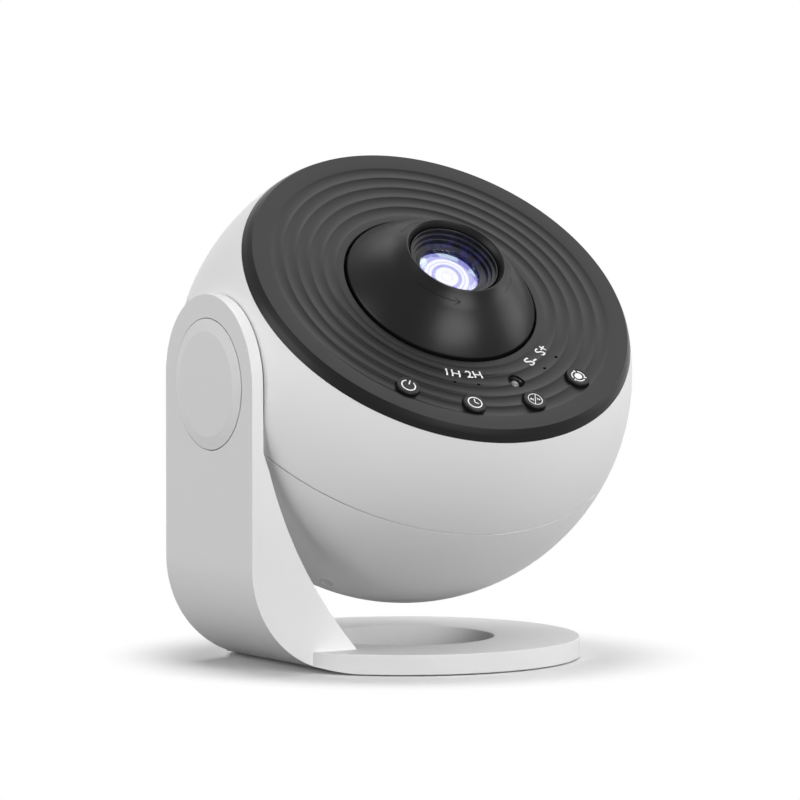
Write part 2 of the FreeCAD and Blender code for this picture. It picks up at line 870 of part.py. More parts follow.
def make_eye_window():
    p = polar(lamp_circle, eye_angle)
    radius = eye_hole_radius - eye_gap
    flange_bottom = plate_under_z - eye_flange_thickness
    top = plate_top_z - eye_sink
    window = lathe([
        (0, flange_bottom),
        (eye_flange_radius, flange_bottom),
        (eye_flange_radius, plate_under_z),
        (radius, plate_under_z),
        (radius, top),
        crown(radius, top, eye_dome),
    ])
    window.translate(FreeCAD.Vector(p.x, p.y, 0))
    return in_head(window)


def make_eye_receiver():
    half = eye_block_width / 2
    top = plate_under_z - eye_flange_thickness - eye_block_gap
    block = box(-half, half, -half, half, board_top_z, top)
    block.translate(FreeCAD.Vector(lamp_circle, 0, 0))
    block.rotate(ORIGIN, Z_AXIS, eye_angle)
    return in_head(block)


def board_post_places():
    points = [polar(board_side_posts, -90 + side * board_side_turn) for side in (-1, 1)]
    points.append(polar(board_outer - board_front_inset, -90))
    return [(p.x, p.y) for p in points]


def make_control_board():
    sweep = board_end - board_start
    board = Part.makeCylinder(board_outer, board_thickness, ORIGIN, Z_AXIS, sweep)
    board = board.cut(cylinder(board_inner, -cut_over, board_thickness + cut_over))
    board.rotate(ORIGIN, Z_AXIS, board_start)
    board.translate(FreeCAD.Vector(0, 0, board_bottom_z))
    holes = [screw_hole(at, board_bottom_z, board_top_z, small_shank) for at in board_post_places()]
    return in_head(board.cut(holes))


def make_board_screws():
    bite = board_thickness + board_screw_bite
    return in_head(group([
        screw(at, board_bottom_z, bite, 1, small_shank, small_head, small_head_height)
        for at in board_post_places()
    ]))


# ---------------------------------------------------------------- lens well and frame
def make_lens_well():
    floor_bore = plug_radius + running_gap
    well = lathe([
        (floor_bore, well_under_z),
        (well_radius + well_wall, well_under_z),
        (well_radius + well_wall, plate_under_z),
        (well_radius, plate_under_z),
        (well_radius, well_floor_z),
        (floor_bore, well_floor_z),
    ])
    parts = []
    holes = []
    for angle in ear_angles:
        ear = polar(ear_circle, angle)
        low = plate_under_z - ear_thickness
        arm = box(well_radius + well_wall / 2, ear_circle, -ear_radius, ear_radius, low, plate_under_z)
        arm.rotate(ORIGIN, Z_AXIS, angle)
        parts.append(arm)
        parts.append(cylinder(ear_radius, low, plate_under_z, (ear.x, ear.y)))
        holes.append(screw_hole((ear.x, ear.y), low, plate_under_z, small_shank))
        post = polar(post_circle, angle)
        parts.append(cylinder(post_radius, deck_top_z, well_under_z, (post.x, post.y)))
        holes.append(screw_hole((post.x, post.y), deck_top_z, deck_top_z + post_screw_bite + hole_end_gap))
    return in_head(well.fuse(parts).cut(holes).removeSplitter())


def make_well_screws():
    seat = plate_under_z - ear_thickness
    points = [polar(ear_circle, angle) for angle in ear_angles]
    return in_head(group([
        screw((p.x, p.y), seat, ear_thickness + ear_screw_bite, 1, small_shank, small_head, small_head_height)
        for p in points
    ]))


def ring_piece(inner, outer, z0, z1, angle, sweep):
    piece = Part.makeCylinder(outer, z1 - z0, FreeCAD.Vector(0, 0, z0), Z_AXIS, sweep)
    piece = piece.cut(cylinder(inner, z0 - cut_over, z1 + cut_over))
    piece.rotate(ORIGIN, Z_AXIS, angle - sweep / 2)
    return piece


def make_optics_frame():
    bearing = carrier_hub_radius + running_gap
    frame = lathe([
        (deck_hole, deck_bottom_z),
        (tube_inner, deck_bottom_z),
        (tube_inner, tube_bottom_z),
        (tube_outer, tube_bottom_z),
        (tube_outer, deck_bottom_z),
        (deck_radius, deck_bottom_z),
        (deck_radius, deck_top_z),
        (bearing + bearing_wall, deck_top_z),
        (bearing + bearing_wall, deck_top_z + bearing_height),
        (bearing, deck_top_z + bearing_height),
        (bearing, deck_top_z),
        (deck_hole, deck_top_z),
    ])
    parts = []
    hook_outer = hook_inner + hook_wall
    hook_low = gear_top_z + moving_gap
    for angle in hook_angles:
        top = hook_low + hook_thickness
        parts.append(ring_piece(hook_inner, hook_outer, deck_top_z, top, angle, hook_sweep))
        parts.append(ring_piece(hook_inner - hook_reach, hook_outer, hook_low, top, angle, hook_sweep))
    holes = []
    for angle in ear_angles:
        ear = polar(lamp_ear_circle, angle)
        ear_top = tube_bottom_z + lamp_ear_height
        parts.append(cylinder(lamp_ear_radius, tube_bottom_z, ear_top, (ear.x, ear.y)))
        holes.append(screw_hole((ear.x, ear.y), tube_bottom_z, tube_bottom_z + lamp_screw_bite, small_shank))
        post = polar(post_circle, angle)
        holes.append(screw_hole((post.x, post.y), deck_bottom_z, deck_top_z))
    motor = polar(motor_distance, motor_angle)
    holes.append(cylinder(motor_bush_radius + fixed_gap, deck_bottom_z, deck_top_z, (motor.x, motor.y)))
    for x, y in motor_screw_places():
        holes.append(screw_hole((x, y), deck_bottom_z, deck_top_z, small_shank))
    bore = cylinder(tube_inner, tube_bottom_z - cut_over, deck_bottom_z)
    return in_head(frame.fuse(parts).cut(holes + [bore]).removeSplitter())


def make_frame_screws():
    points = [polar(post_circle, angle) for angle in ear_angles]
    bite = deck_thickness + post_screw_bite
    return in_head(group([screw((p.x, p.y), deck_bottom_z, bite, 1) for p in points]))


# ---------------------------------------------------------------- lamp house
def make_condenser_lens():
    radius = tube_inner - running_gap
    edge_z = deck_bottom_z - condenser_edge
    return in_head(lathe([
        (0, deck_bottom_z),
        (radius, deck_bottom_z),
        (radius, edge_z),
        crown(radius, edge_z, -condenser_crown),
    ]))


def make_condenser_clip():
    top = deck_bottom_z - condenser_edge
    radius = tube_inner - fixed_gap
    inner = radius - condenser_clip_wall
    low = top - condenser_clip_length
    slope_end = top - 0.8 * condenser_clip_wall
    return in_head(lathe([(inner, low), (radius, low), (radius, top), (inner, slope_end)]))


def make_lamp_board():
    board = cylinder(lamp_board_radius, lamp_board_bottom_z, tube_bottom_z)
    holes = []
    for angle in ear_angles:
        p = polar(lamp_ear_circle, angle)
        holes.append(screw_hole((p.x, p.y), lamp_board_bottom_z, tube_bottom_z, small_shank))
    return in_head(board.cut(holes))


def make_lamp():
    half = lamp_body / 2
    top = tube_bottom_z + lamp_body_height
    body = box(-half, half, -half, half, tube_bottom_z, top)
    dome = lathe([(0, top), (lamp_dome_radius, top), crown(lamp_dome_radius, top, lamp_dome_height)])
    return in_head(body.fuse(dome).removeSplitter())


def make_heat_sink():
    base = cylinder(lamp_board_radius, sink_bottom_z, lamp_board_bottom_z)
    fins = []
    middle = (fin_count - 1) / 2
    for i in range(fin_count):
        y = (i - middle) * fin_pitch
        fins.append(box(
            -lamp_board_radius, lamp_board_radius, y - fin_thickness / 2, y + fin_thickness / 2,
            sink_bottom_z - sink_depth, sink_bottom_z,
        ))
    round_limit = cylinder(lamp_board_radius, sink_bottom_z - sink_depth, lamp_board_bottom_z)
    sink = base.fuse(fins).common(round_limit)
    holes = []
    for angle in ear_angles:
        p = polar(lamp_ear_circle, angle)
        holes.append(screw_hole((p.x, p.y), sink_bottom_z, lamp_board_bottom_z, small_shank))
        access = small_head + moving_gap
        holes.append(cylinder(access, sink_bottom_z - sink_depth, sink_bottom_z, (p.x, p.y)))
    return in_head(sink.cut(holes).removeSplitter())


def make_lamp_screws():
    bite = sink_base + lamp_board_thickness + lamp_screw_bite
    points = [polar(lamp_ear_circle, angle) for angle in ear_angles]
    return in_head(group([
        screw((p.x, p.y), sink_bottom_z, bite, 1, small_shank, small_head, small_head_height) for p in points
    ]))


# ---------------------------------------------------------------- film drive
def involute(angle):
    return math.tan(angle) - angle


def gear_blank(teeth, width, first_tooth):
    """Toothed wheel from z = 0 up; first_tooth is the angle of one tooth's middle."""
    pitch = gear_module * teeth / 2
    base = pitch * math.cos(math.radians(pressure_angle))
    tip = pitch + gear_module
    root = pitch - 1.25 * gear_module
    half = math.pi / (2 * teeth) - gear_backlash / (4 * pitch) + involute(math.radians(pressure_angle))
    start = max(root, base)
    radii = [start + (tip - start) * k / 3 for k in range(4)]
    flank = [(radius, half - involute(math.acos(min(1.0, base / radius)))) for radius in radii]
    if root < base:
        flank.insert(0, (root, flank[0][1]))
    points = []
    for i in range(teeth):
        middle = math.radians(first_tooth) + 2 * math.pi * i / teeth
        tooth = [(r, middle - a) for r, a in flank] + [(r, middle + a) for r, a in reversed(flank)]
        points += [FreeCAD.Vector(r * math.cos(a), r * math.sin(a), 0) for r, a in tooth]
    wheel = Part.Face(Part.makePolygon(points + [points[0]]))
    return wheel.extrude(FreeCAD.Vector(0, 0, width))


def make_film_carrier():
    gear = gear_blank(carrier_teeth, gear_width, motor_angle)
    gear.translate(FreeCAD.Vector(0, 0, gear_bottom_z))
    hub_inner = carrier_hub_radius - carrier_hub_wall
    hub = ring(hub_inner, carrier_hub_radius, gear_bottom_z - carrier_hub_height, gear_bottom_z)
    seat = disc_radius + disc_gap
    rim = ring(seat, seat + rim_wall, gear_top_z, gear_top_z + rim_height)
    bore = cylinder(carrier_bore, gear_bottom_z - carrier_hub_height, gear_top_z)
    return in_head(gear.cut(bore).fuse([hub, rim]).removeSplitter())


def make_star_disc():
    return in_head(cylinder(disc_radius, gear_top_z, gear_top_z + disc_thickness))


def make_disc_clip():
    outer = disc_radius + disc_gap - fixed_gap
    low = gear_top_z + disc_thickness
    return in_head(ring(outer - clip_width, outer, low, low + clip_thickness))


def make_drive_pinion():
    gear = gear_blank(pinion_teeth, gear_width, motor_angle + 180 + 180 / pinion_teeth)
    gear.translate(FreeCAD.Vector(0, 0, gear_bottom_z))
    hub = cylinder(pinion_hub_radius, gear_top_z, gear_top_z + pinion_hub_height)
    bore = cylinder(shaft_radius + fixed_gap, gear_bottom_z, gear_top_z + pinion_hub_height)
    pinion = gear.fuse(hub).cut(bore).removeSplitter()
    pinion.translate(polar(motor_distance, motor_angle))
    return in_head(pinion)


def make_motor_shaft():
    p = polar(motor_distance, motor_angle)
    top = gear_top_z + shaft_top
    return in_head(cylinder(shaft_radius, top - shaft_length, top, (p.x, p.y)))


def motor_screw_places():
    p = polar(motor_distance, motor_angle)
    return [(p.x - motor_screw_spread, p.y), (p.x + motor_screw_spread, p.y)]


def make_motor():
    p = polar(motor_distance, motor_angle)
    at = (p.x, p.y)
    can = cylinder(motor_radius, deck_bottom_z - motor_length, deck_bottom_z, at)
    bush = cylinder(motor_bush_radius, deck_bottom_z, deck_top_z, at)
    shaft_low = gear_top_z + shaft_top - shaft_length - face_gap
    bore = cylinder(shaft_radius + running_gap, shaft_low, deck_top_z, at)
    holes = [
        screw_hole(place, deck_bottom_z - motor_screw_bite, deck_bottom_z, small_shank)
        for place in motor_screw_places()
    ]
    return in_head(can.fuse(bush).cut(holes + [bore]).removeSplitter())


def make_motor_screws():
    bite = deck_thickness + motor_screw_bite
    return in_head(group([
        screw(at, deck_top_z, bite, -1, small_shank, small_head, small_head_height)
        for at in motor_screw_places()
    ]))


# ---------------------------------------------------------------- lens unit
def bowed(start, end, rise):
    """Middle of an arc between two section points, off its chord by rise away from the axis."""
    run = end[0] - start[0]
    fall = start[1] - end[1]
    length = math.hypot(run, fall)
    return (
        (start[0] + end[0]) / 2 + rise * fall / length,
        (start[1] + end[1]) / 2 + rise * run / length,
    )


def cone_flank():
    """Flank from the rim down: a hollow arc, then a bulging one to the foot."""
    top = (cone_rim_radius + cone_rim_width, cone_rim_z - cone_rim_width / 2)
    waist = (cone_waist_radius, plate_top_z + cone_waist_height)
    foot = (cone_radius, plate_top_z + cone_shoulder)
    return [top, bowed(top, waist, -cone_sink) + waist, bowed(waist, foot, cone_bulge) + foot]


def flank_height(radius):
    """Height of the straight line from rim to foot at a radius."""
    top, waist, foot = [point[-2:] for point in cone_flank()]
    share = (radius - top[0]) / (foot[0] - top[0])
    return top[1] + share * (foot[1] - top[1])


def make_focus_cone():
    bead_low = mount_top_z + snap_level - snap_gap
    bead_high = mount_top_z + snap_level + snap_height + snap_gap
    bead_radius = skirt_inner + snap_bead
    inside_drop = cone_wall * math.sqrt(2)
    cone = lathe([
        (cone_rim_radius, cone_rim_z),
        *cone_flank(),
        (cone_radius, well_floor_z + skirt_lift),
        (skirt_inner, well_floor_z + skirt_lift),
        (skirt_inner, bead_low),
        (bead_radius, bead_low),
        (bead_radius, bead_high),
        (skirt_inner, bead_high),
        (skirt_inner, flank_height(skirt_inner) - inside_drop),
        (sleeve_outer, flank_height(sleeve_outer) - inside_drop),
        (sleeve_outer, mount_top_z + sleeve_lift),
        (sleeve_inner, mount_top_z + sleeve_lift),
        (sleeve_inner, guide_top_z + focus_travel - sleeve_dip),
        (lip_radius, guide_top_z + focus_travel - sleeve_dip),
        (lip_radius, cone_rim_z - lip_drop),
    ])
    return in_head(cone.cut(cam_groove()).removeSplitter())


def cam_groove():
    """Two helical grooves in the sleeve, cut by the pins' own path."""
    cutters = []
    steps = int(2 * focus_turn / groove_step)
    for side in (0, 180):
        for i in range(-1, steps + 2):
            angle = -focus_turn + i * groove_step
            z = pin_z + focus_travel * angle / focus_turn
            cutter = Part.makeCylinder(
                pin_radius + pin_side_gap, groove_depth + cut_over,
                FreeCAD.Vector(sleeve_inner - cut_over, 0, z), X_AXIS,
            )
            cutter.rotate(ORIGIN, Z_AXIS, side - angle)
            cutters.append(cutter)
    return cutters


def make_lens_mount():
    rim_top = mount_top_z + mount_rim_height
    bead_low = mount_top_z + snap_level
    bead_high = bead_low + snap_height
    bead_radius = skirt_inner + snap_bead - moving_gap
    mount = lathe([
        (guide_inner, well_floor_z - guide_bottom),
        (guide_outer, well_floor_z - guide_bottom),
        (guide_outer, well_floor_z),
        (plug_radius - plug_wall, well_floor_z),
        (plug_radius - plug_wall, well_floor_z - plug_length),
        (plug_radius, well_floor_z - plug_length),
        (plug_radius, well_floor_z),
        (mount_radius, well_floor_z),
        (mount_radius, bead_low),
        (bead_radius, bead_low),
        (bead_radius, bead_high),
        (mount_radius, bead_high),
        (mount_radius, rim_top),
        (mount_radius - mount_rim_wall, rim_top),
        (mount_radius - mount_rim_wall, mount_top_z),
        (guide_outer, mount_top_z),
        (guide_outer, guide_top_z),
        (guide_inner, guide_top_z),
    ])
    half = pin_radius + pin_side_gap
    low = pin_z - focus_travel - pin_radius - moving_gap
    near = guide_inner - cut_over
    far = guide_outer + cut_over
    high = guide_top_z + cut_over
    slots = [box(near, far, -half, half, low, high), box(-far, -near, -half, half, low, high)]
    return in_head(mount.cut(slots).removeSplitter())


def make_lens_barrel():
    """Barrel with stepped baffle rings in front of the lens."""
    points = [
        (barrel_radius, barrel_top_z - barrel_length),
        (barrel_radius, barrel_top_z - barrel_head_length),
        (barrel_head_radius, barrel_top_z - barrel_head_length),
        (barrel_head_radius, barrel_top_z),
    ]
    for i in range(baffle_count - 1):
        radius = baffle_first - i * baffle_pitch
        z = barrel_top_z - i * baffle_drop
        points += [
            (radius, z),
            (radius - baffle_groove / 2, z - 0.55 * baffle_drop),
            (radius + baffle_groove, z - 0.6 * baffle_drop),
            (radius + baffle_groove, z - 0.85 * baffle_drop),
            (radius - baffle_groove, z - baffle_drop),
        ]
    aperture = lens_radius - lens_shoulder
    bore = lens_radius + running_gap
    last = baffle_count - 1
    points += [
        (baffle_first - last * baffle_pitch, barrel_top_z - last * baffle_drop),
        (aperture, lens_seat_z + aperture_land),
        (aperture, lens_seat_z),
        (bore, lens_seat_z),
        (bore, barrel_top_z - barrel_length),
    ]
    barrel = lathe(points)
    outside = barrel_radius + cut_over
    holes = [radial_pin(side, lens_radius, outside, pin_radius + fixed_gap) for side in (0, 180)]
    return in_head(barrel.cut(holes).removeSplitter())


def radial_pin(side, inner, outer, radius):
    pin = Part.makeCylinder(radius, outer - inner, FreeCAD.Vector(inner, 0, pin_z), X_AXIS)
    pin.rotate(ORIGIN, Z_AXIS, side)
    return pin


def make_guide_pins():
    outer = sleeve_inner + groove_depth - moving_gap
    inner = lens_radius + 4 * running_gap
    return in_head(group([radial_pin(side, inner, outer, pin_radius) for side in (0, 180)]))


def front_lens_back_z():
    return lens_seat_z - lens_edge


def make_front_lens():
    aperture = lens_radius - lens_shoulder - running_gap
    return in_head(lathe([
        (0, front_lens_back_z()),
        (lens_radius, front_lens_back_z()),
        (lens_radius, lens_seat_z),
        (aperture, lens_seat_z),
        crown(aperture, lens_seat_z, lens_crown),
    ]))


def make_lens_spacer():
    top = front_lens_back_z()
    return in_head(ring(lens_radius - spacer_wall, lens_radius, top - spacer_length, top))


def rear_lens_top_z():
    return front_lens_back_z() - spacer_length


def make_rear_lens():
    top = rear_lens_top_z()
    clear = lens_radius - spacer_wall - running_gap
    return in_head(lathe([
        (0, top - rear_lens_edge),
        (lens_radius, top - rear_lens_edge),
        (lens_radius, top),
        (clear, top),
        crown(clear, top, rear_lens_crown),
    ]))


def make_lens_retainer():
    top = rear_lens_top_z() - rear_lens_edge
    return in_head(ring(lens_radius - retainer_wall, lens_radius, top - retainer_length, top))


# ---------------------------------------------------------------- power inlet
def rounded_bar(width, height, y0, y1):
    """Bar along Y at the inlet's level with rounded ends to its section."""
    r = height / 2
    middle = box(-width / 2 + r, width / 2 - r, y0, y1, inlet_level - r, inlet_level + r)
    ends = []
    for side in (-1, 1):
        at = FreeCAD.Vector(side * (width / 2 - r), y0, inlet_level)
        ends.append(Part.makeCylinder(r, y1 - y0, at, FreeCAD.Vector(0, 1, 0)))
    return middle.fuse(ends).removeSplitter()


def inlet_front():
    return inlet_face + inlet_proud


def power_board_back():
    """The board ends short of the inlet's pad and of the ball's wall at its corners."""
    corner = math.sqrt(inner_radius**2 - inlet_board_bottom_z**2 - (power_board_width / 2)**2)
    front = min(inlet_face - inlet_pad_wall, corner) - moving_gap
    return front - power_board_length


def power_post_places():
    y = power_board_back() + power_post_inset
    return [(-power_post_spread / 2, y), (power_post_spread / 2, y)]


def power_posts():
    return [
        cylinder(power_post_radius, -ball_radius, inlet_board_bottom_z, at) for at in power_post_places()
    ]


def make_power_inlet():
    front = inlet_front()
    back = front - inlet_length
    shell = rounded_bar(inlet_width, inlet_height, back, front)
    inner = 2 * inlet_shell
    shell = shell.cut(rounded_bar(inlet_width - inner, inlet_height - inner, back + inlet_shell, front))
    half = inlet_width / 2 - inlet_height / 2
    low = inlet_level - inlet_tongue / 2
    tongue = box(-half, half, back, front - inlet_tongue_sink, low, low + inlet_tongue)
    return in_head(shell.fuse(tongue).removeSplitter())


def make_power_board():
    back = power_board_back()
    half = power_board_width / 2
    board = box(-half, half, back, back + power_board_length, inlet_board_bottom_z, inlet_board_top_z)
    length, width, height = power_chip
    x = -length / 2
    y = back + power_post_inset + power_post_radius
    chip = box(x, x + length, y, y + width, inlet_board_bottom_z - height, inlet_board_bottom_z)
    holes = [
        screw_hole(at, inlet_board_bottom_z, inlet_board_top_z, small_shank) for at in power_post_places()
    ]
    return in_head(board.fuse(chip).cut(holes).removeSplitter())


def make_power_screws():
    bite = power_board_thickness + power_screw_bite
    return in_head(group([
        screw(at, inlet_board_top_z, bite, -1, small_shank, small_head, small_head_height)
        for at in power_post_places()
    ]))


# ---------------------------------------------------------------- wiring
def cable(points):
    """Round cable through the points with ball-shaped corners."""
    pieces = []
    for start, end in zip(points, points[1:]):
        step = end - start
        pieces.append(Part.makeCylinder(cable_radius, step.Length, start, step))
    for corner in points[1:-1]:
        pieces.append(Part.makeSphere(cable_radius, corner))
    return pieces[0].fuse(pieces[1:]).removeSplitter()


def make_wiring():
    low = inlet_board_top_z
    turn = cable_side / 2
    cable_level = deck_bottom_z - cable_drop
    inner_y = power_board_back() + power_cable_inset
    end = polar(board_outer - power_cable_edge, power_cable_turn)
    power = cable([
        FreeCAD.Vector(power_cable_x, inner_y, low),
        FreeCAD.Vector(power_cable_x, inner_y, cable_level),
        FreeCAD.Vector(cable_side, turn, cable_level),
        FreeCAD.Vector(cable_side, -turn, cable_level),
        FreeCAD.Vector(end.x, end.y, cable_level),
        FreeCAD.Vector(end.x, end.y, board_bottom_z),
    ])
    start = polar(deck_radius + lamp_cable_edge, lamp_cable_turn)
    end = polar(lamp_cable_circle, lamp_cable_end_turn)
    lamp = cable([
        FreeCAD.Vector(start.x, start.y, board_bottom_z),
        FreeCAD.Vector(start.x, start.y, cable_level),
        FreeCAD.Vector(end.x, end.y, cable_level),
        FreeCAD.Vector(end.x, end.y, tube_bottom_z),
    ])
    start = polar(board_outer - motor_cable_edge, motor_cable_turn)
    motor_low = deck_bottom_z - motor_length
    run_low = motor_low - motor_cable_drop
    motor = cable([
        FreeCAD.Vector(start.x, start.y, board_bottom_z),
        FreeCAD.Vector(start.x, start.y, run_low),
        FreeCAD.Vector(-cable_side, cable_side / 4, run_low),
        FreeCAD.Vector(motor_cable_x, motor_distance, run_low),
        FreeCAD.Vector(motor_cable_x, motor_distance, motor_low),
    ])
    return in_head(group([power, lamp, motor]))


# ---------------------------------------------------------------- whole object
def all_nodes():
    nodes = {
        "stand": make_stand(),
        "foot_pad": make_foot_pad(),
        "arm_cap": make_arm_cap(),
        "pivot_axle": make_pivot_axle(),
        "pivot_screws": make_pivot_screws(),
        "spring_washer": make_spring_washer(),
        "friction_washer": make_friction_washer(),
        "upper_shell": make_upper_shell(),
        "lower_shell": make_lower_shell(),
        "shell_screws": make_shell_screws(),
        "face_plate": make_face_plate(),
        "plate_screws": make_plate_screws(),
        "button_switches": make_switches(),
        "indicator_lamps": make_lamp_chips(),
        "light_pipes": make_light_pipes(),
        "remote_eye_window": make_eye_window(),
        "remote_eye": make_eye_receiver(),
        "control_board": make_control_board(),
        "board_screws": make_board_screws(),
        "lens_well": make_lens_well(),
        "well_screws": make_well_screws(),
        "optics_frame": make_optics_frame(),
        "frame_screws": make_frame_screws(),
        "condenser_lens": make_condenser_lens(),
        "condenser_clip": make_condenser_clip(),
        "lamp_board": make_lamp_board(),
        "lamp": make_lamp(),
        "heat_sink": make_heat_sink(),
        "lamp_screws": make_lamp_screws(),
        "film_carrier": make_film_carrier(),
        "star_disc": make_star_disc(),
        "disc_clip": make_disc_clip(),
        "drive_pinion": make_drive_pinion(),
        "motor_shaft": make_motor_shaft(),
        "motor": make_motor(),
        "motor_screws": make_motor_screws(),
        "focus_cone": make_focus_cone(),
        "lens_mount": make_lens_mount(),
        "lens_barrel": make_lens_barrel(),
        "guide_pins": make_guide_pins(),
        "front_lens": make_front_lens(),
        "lens_spacer": make_lens_spacer(),
        "rear_lens": make_rear_lens(),
        "lens_retainer": make_lens_retainer(),
        "power_inlet": make_power_inlet(),
        "power_board": make_power_board(),
        "power_screws": make_power_screws(),
        "wiring": make_wiring(),
    }
    for name, angle in button_angles:
        nodes["button_" + name] = make_button(angle)
    return nodes


os.makedirs("parts", exist_ok=True)
for node, shape in all_nodes().items():
    shape.exportStep("parts/" + node + ".step")
    print(node, "solids", len(shape.Solids), "valid", shape.isValid(), "volume", round(shape.Volume, 1))
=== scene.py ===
import math
import bpy
import bmesh
from mathutils import Matrix, Vector


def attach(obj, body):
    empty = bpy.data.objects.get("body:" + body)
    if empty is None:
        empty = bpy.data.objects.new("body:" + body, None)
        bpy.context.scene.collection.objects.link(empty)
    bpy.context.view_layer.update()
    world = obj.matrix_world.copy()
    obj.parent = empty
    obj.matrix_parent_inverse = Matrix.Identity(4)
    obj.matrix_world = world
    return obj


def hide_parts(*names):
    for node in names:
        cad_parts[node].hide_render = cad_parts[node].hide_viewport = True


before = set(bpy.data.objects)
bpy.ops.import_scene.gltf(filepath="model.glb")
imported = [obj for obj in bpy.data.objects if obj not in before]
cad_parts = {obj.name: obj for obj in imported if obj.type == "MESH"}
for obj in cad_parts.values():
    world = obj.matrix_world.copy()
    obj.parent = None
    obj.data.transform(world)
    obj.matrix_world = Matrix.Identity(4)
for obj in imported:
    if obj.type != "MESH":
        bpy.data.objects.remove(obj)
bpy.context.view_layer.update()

# Head pieces are shaped in millimetres about the optical axis, with the ball's centre at zero
# and +Y to the rear, then leaned forward and lifted to the pivot. The stand's are upright.
PIVOT = 0.0807
PIVOT_MM = PIVOT * 1000
LEAN = math.radians(39.5)
MM = Matrix.Scale(0.001, 4)
HEAD = Matrix.Translation((0, 0, PIVOT)) @ Matrix.Rotation(LEAN, 4, "X") @ MM
ARM = Matrix.Translation((0, 0, PIVOT)) @ Matrix.Rotation(math.radians(90), 4, "Y") @ MM

# Ball: radius, wall, half the gap between the shells, the flat side next to the arm, openings.
BALL = 65.0
WALL = 2.4
SEAM = 0.22
SEAM_ROUND = 0.08
FLAT = 59.6
FLAT_WALL = 2.0
MOUTH = 51.8
AXLE_BORE = 12.05
SHELL_POSTS = [(29.8 * sx, 42.2 * sy) for sx in (-1, 1) for sy in (-1, 1)]
POST_RADIUS = 3.3
POST_LOW = -62
RECESS_RADIUS = 2.0
RECESS_END = -9.0
INLET_AT = -30
INLET_FAR = 70
INLET_STEPS = ((15.0, 7.6, 54.6), (9.24, 3.44, 40))

# Face plate: its face, seat and underside along the axis, its ripples, and what shows in it.
PLATE_TOP = 32.55
PLATE_SEAT = 29.15
PLATE_UNDER = 30.15
PLATE_HOLE = 28.55
PLATE_RIM = 57.0
PLATE_RIM_WIDTH = 1.1
PLATE_LAP = 51.2
RIPPLE = 0.35
RIPPLE_START = 30.75
RIPPLE_PITCH = 4.0
RIPPLES = 5
HOLES_FROM = 29
BUTTONS = (("power", -126.6), ("timer", -102.2), ("colour", -77.8), ("light", -53.4))
BUTTON_RING = 46.5
BUTTON_HOLE = 3.6
BUTTON_RADIUS = 3.45
BUTTON_TOP = PLATE_TOP + 0.85
PILOTS = (-107.9, -97.0, -59.3, -48.5)
PILOT_RING = 37.8
PINHOLE = 0.5
EYE_ANGLE = -78.0
EYE_HOLE = 2.5

# Lens unit: foot, waist and top of the cone's flank and its bows, arrows, barrel and lens.
CONE_FOOT = (27.95, PLATE_TOP + 0.6)
CONE_WAIST = (18.5, PLATE_TOP + 10.1)
CONE_TOP = (14.9, 46.3)
CONE_BULGE = 0.55
CONE_HOLLOW = -0.15
CONE_BORE = 13.15
CONE_SKIRT = 27.4
ARROWS = ((-152.5, 45), (-52, 25), (88, 44))
ARROW_RING = 17.0
ARROW_GROOVE = 0.11
BARREL_TOP = 44.6
BARREL_END = BARREL_TOP - 18.9
BAFFLES = 3
LENS_BACK = 37.6
LENS_SEAT = 40.3

# Stand: the arm's faces, half width and crown, the bend, the brace, the ring base and the seats.
# ARM_BLANK is the arm's half width and its height above the pivot before it is cut to shape.
ARM_OUTER = -63.5
ARM_INNER = -59.9
ARM_HALF = 24.5
ARM_CROWN = 0.9
ARM_BORE = 12.1
ARM_BLANK = 30
BEND = 30.0
BRACE_TOE = ARM_OUTER + BEND + 4.0
BRACE_TOP = 65.7
BRACE_SINK = 4.4
BASE_LOW = 0.3
BASE_TOP = 6.1
BASE_RADIUS = 50.2
BASE_HOLE = 25.8
BALL_ROOM = 2.0
PAD_GROOVE = (27.55, 33.25, -1, 1.0)
CAP_SEAT = 18.75
CAP_RADIUS = 18.5
CAP_FACE = 64.5

# Meshes: points merged within this distance, planes cut with this tolerance, normal weighting.
MERGE = 0.0005
SLIVER = 0.0001
SHADING_WEIGHT = 80


# ---------------------------------------------------------------- mesh tools
def arc_points(start, middle, end, count):
    """Points on the circle through three profile points, without the first."""
    ax, ay = start
    bx, by = middle
    cx, cy = end
    d = 2 * (ax * (by - cy) + bx * (cy - ay) + cx * (ay - by))
    a2, b2, c2 = ax * ax + ay * ay, bx * bx + by * by, cx * cx + cy * cy
    ox = (a2 * (by - cy) + b2 * (cy - ay) + c2 * (ay - by)) / d
    oy = (a2 * (cx - bx) + b2 * (ax - cx) + c2 * (bx - ax)) / d
    radius = math.hypot(ax - ox, ay - oy)
    first = math.atan2(ay - oy, ax - ox)
    full = 2 * math.pi
    sweep = (math.atan2(cy - oy, cx - ox) - first) % full
    via = (math.atan2(by - oy, bx - ox) - first) % full
    if via > sweep:
        sweep -= full
    angles = [first + sweep * i / count for i in range(1, count + 1)]
    return [(ox + radius * math.cos(a), oy + radius * math.sin(a)) for a in angles]


def lathe(profile, steps, closed=True):
    """Round solid about Z from a (radius, height) profile. A ring's profile is closed."""
    bm = bmesh.new()
    points = [bm.verts.new((r, 0, z)) for r, z in profile]
    pairs = list(zip(points, points[1:]))
    if closed:
        pairs.append((points[-1], points[0]))
    edges = [bm.edges.new(pair) for pair in pairs]
    bmesh.ops.spin(
        bm, geom=points + edges, cent=(0, 0, 0), axis=(0, 0, 1),
        angle=2 * math.pi, steps=steps, use_merge=True,
    )
    tidy(bm)
    return bm


def tidy(bm):
    bmesh.ops.remove_doubles(bm, verts=bm.verts, dist=MERGE)
    bmesh.ops.dissolve_degenerate(bm, edges=bm.edges, dist=SLIVER)
    bmesh.ops.recalc_face_normals(bm, faces=bm.faces)


def everything(bm):
    """Every vertex, edge and face."""
    return bm.verts[:] + bm.edges[:] + bm.faces[:]


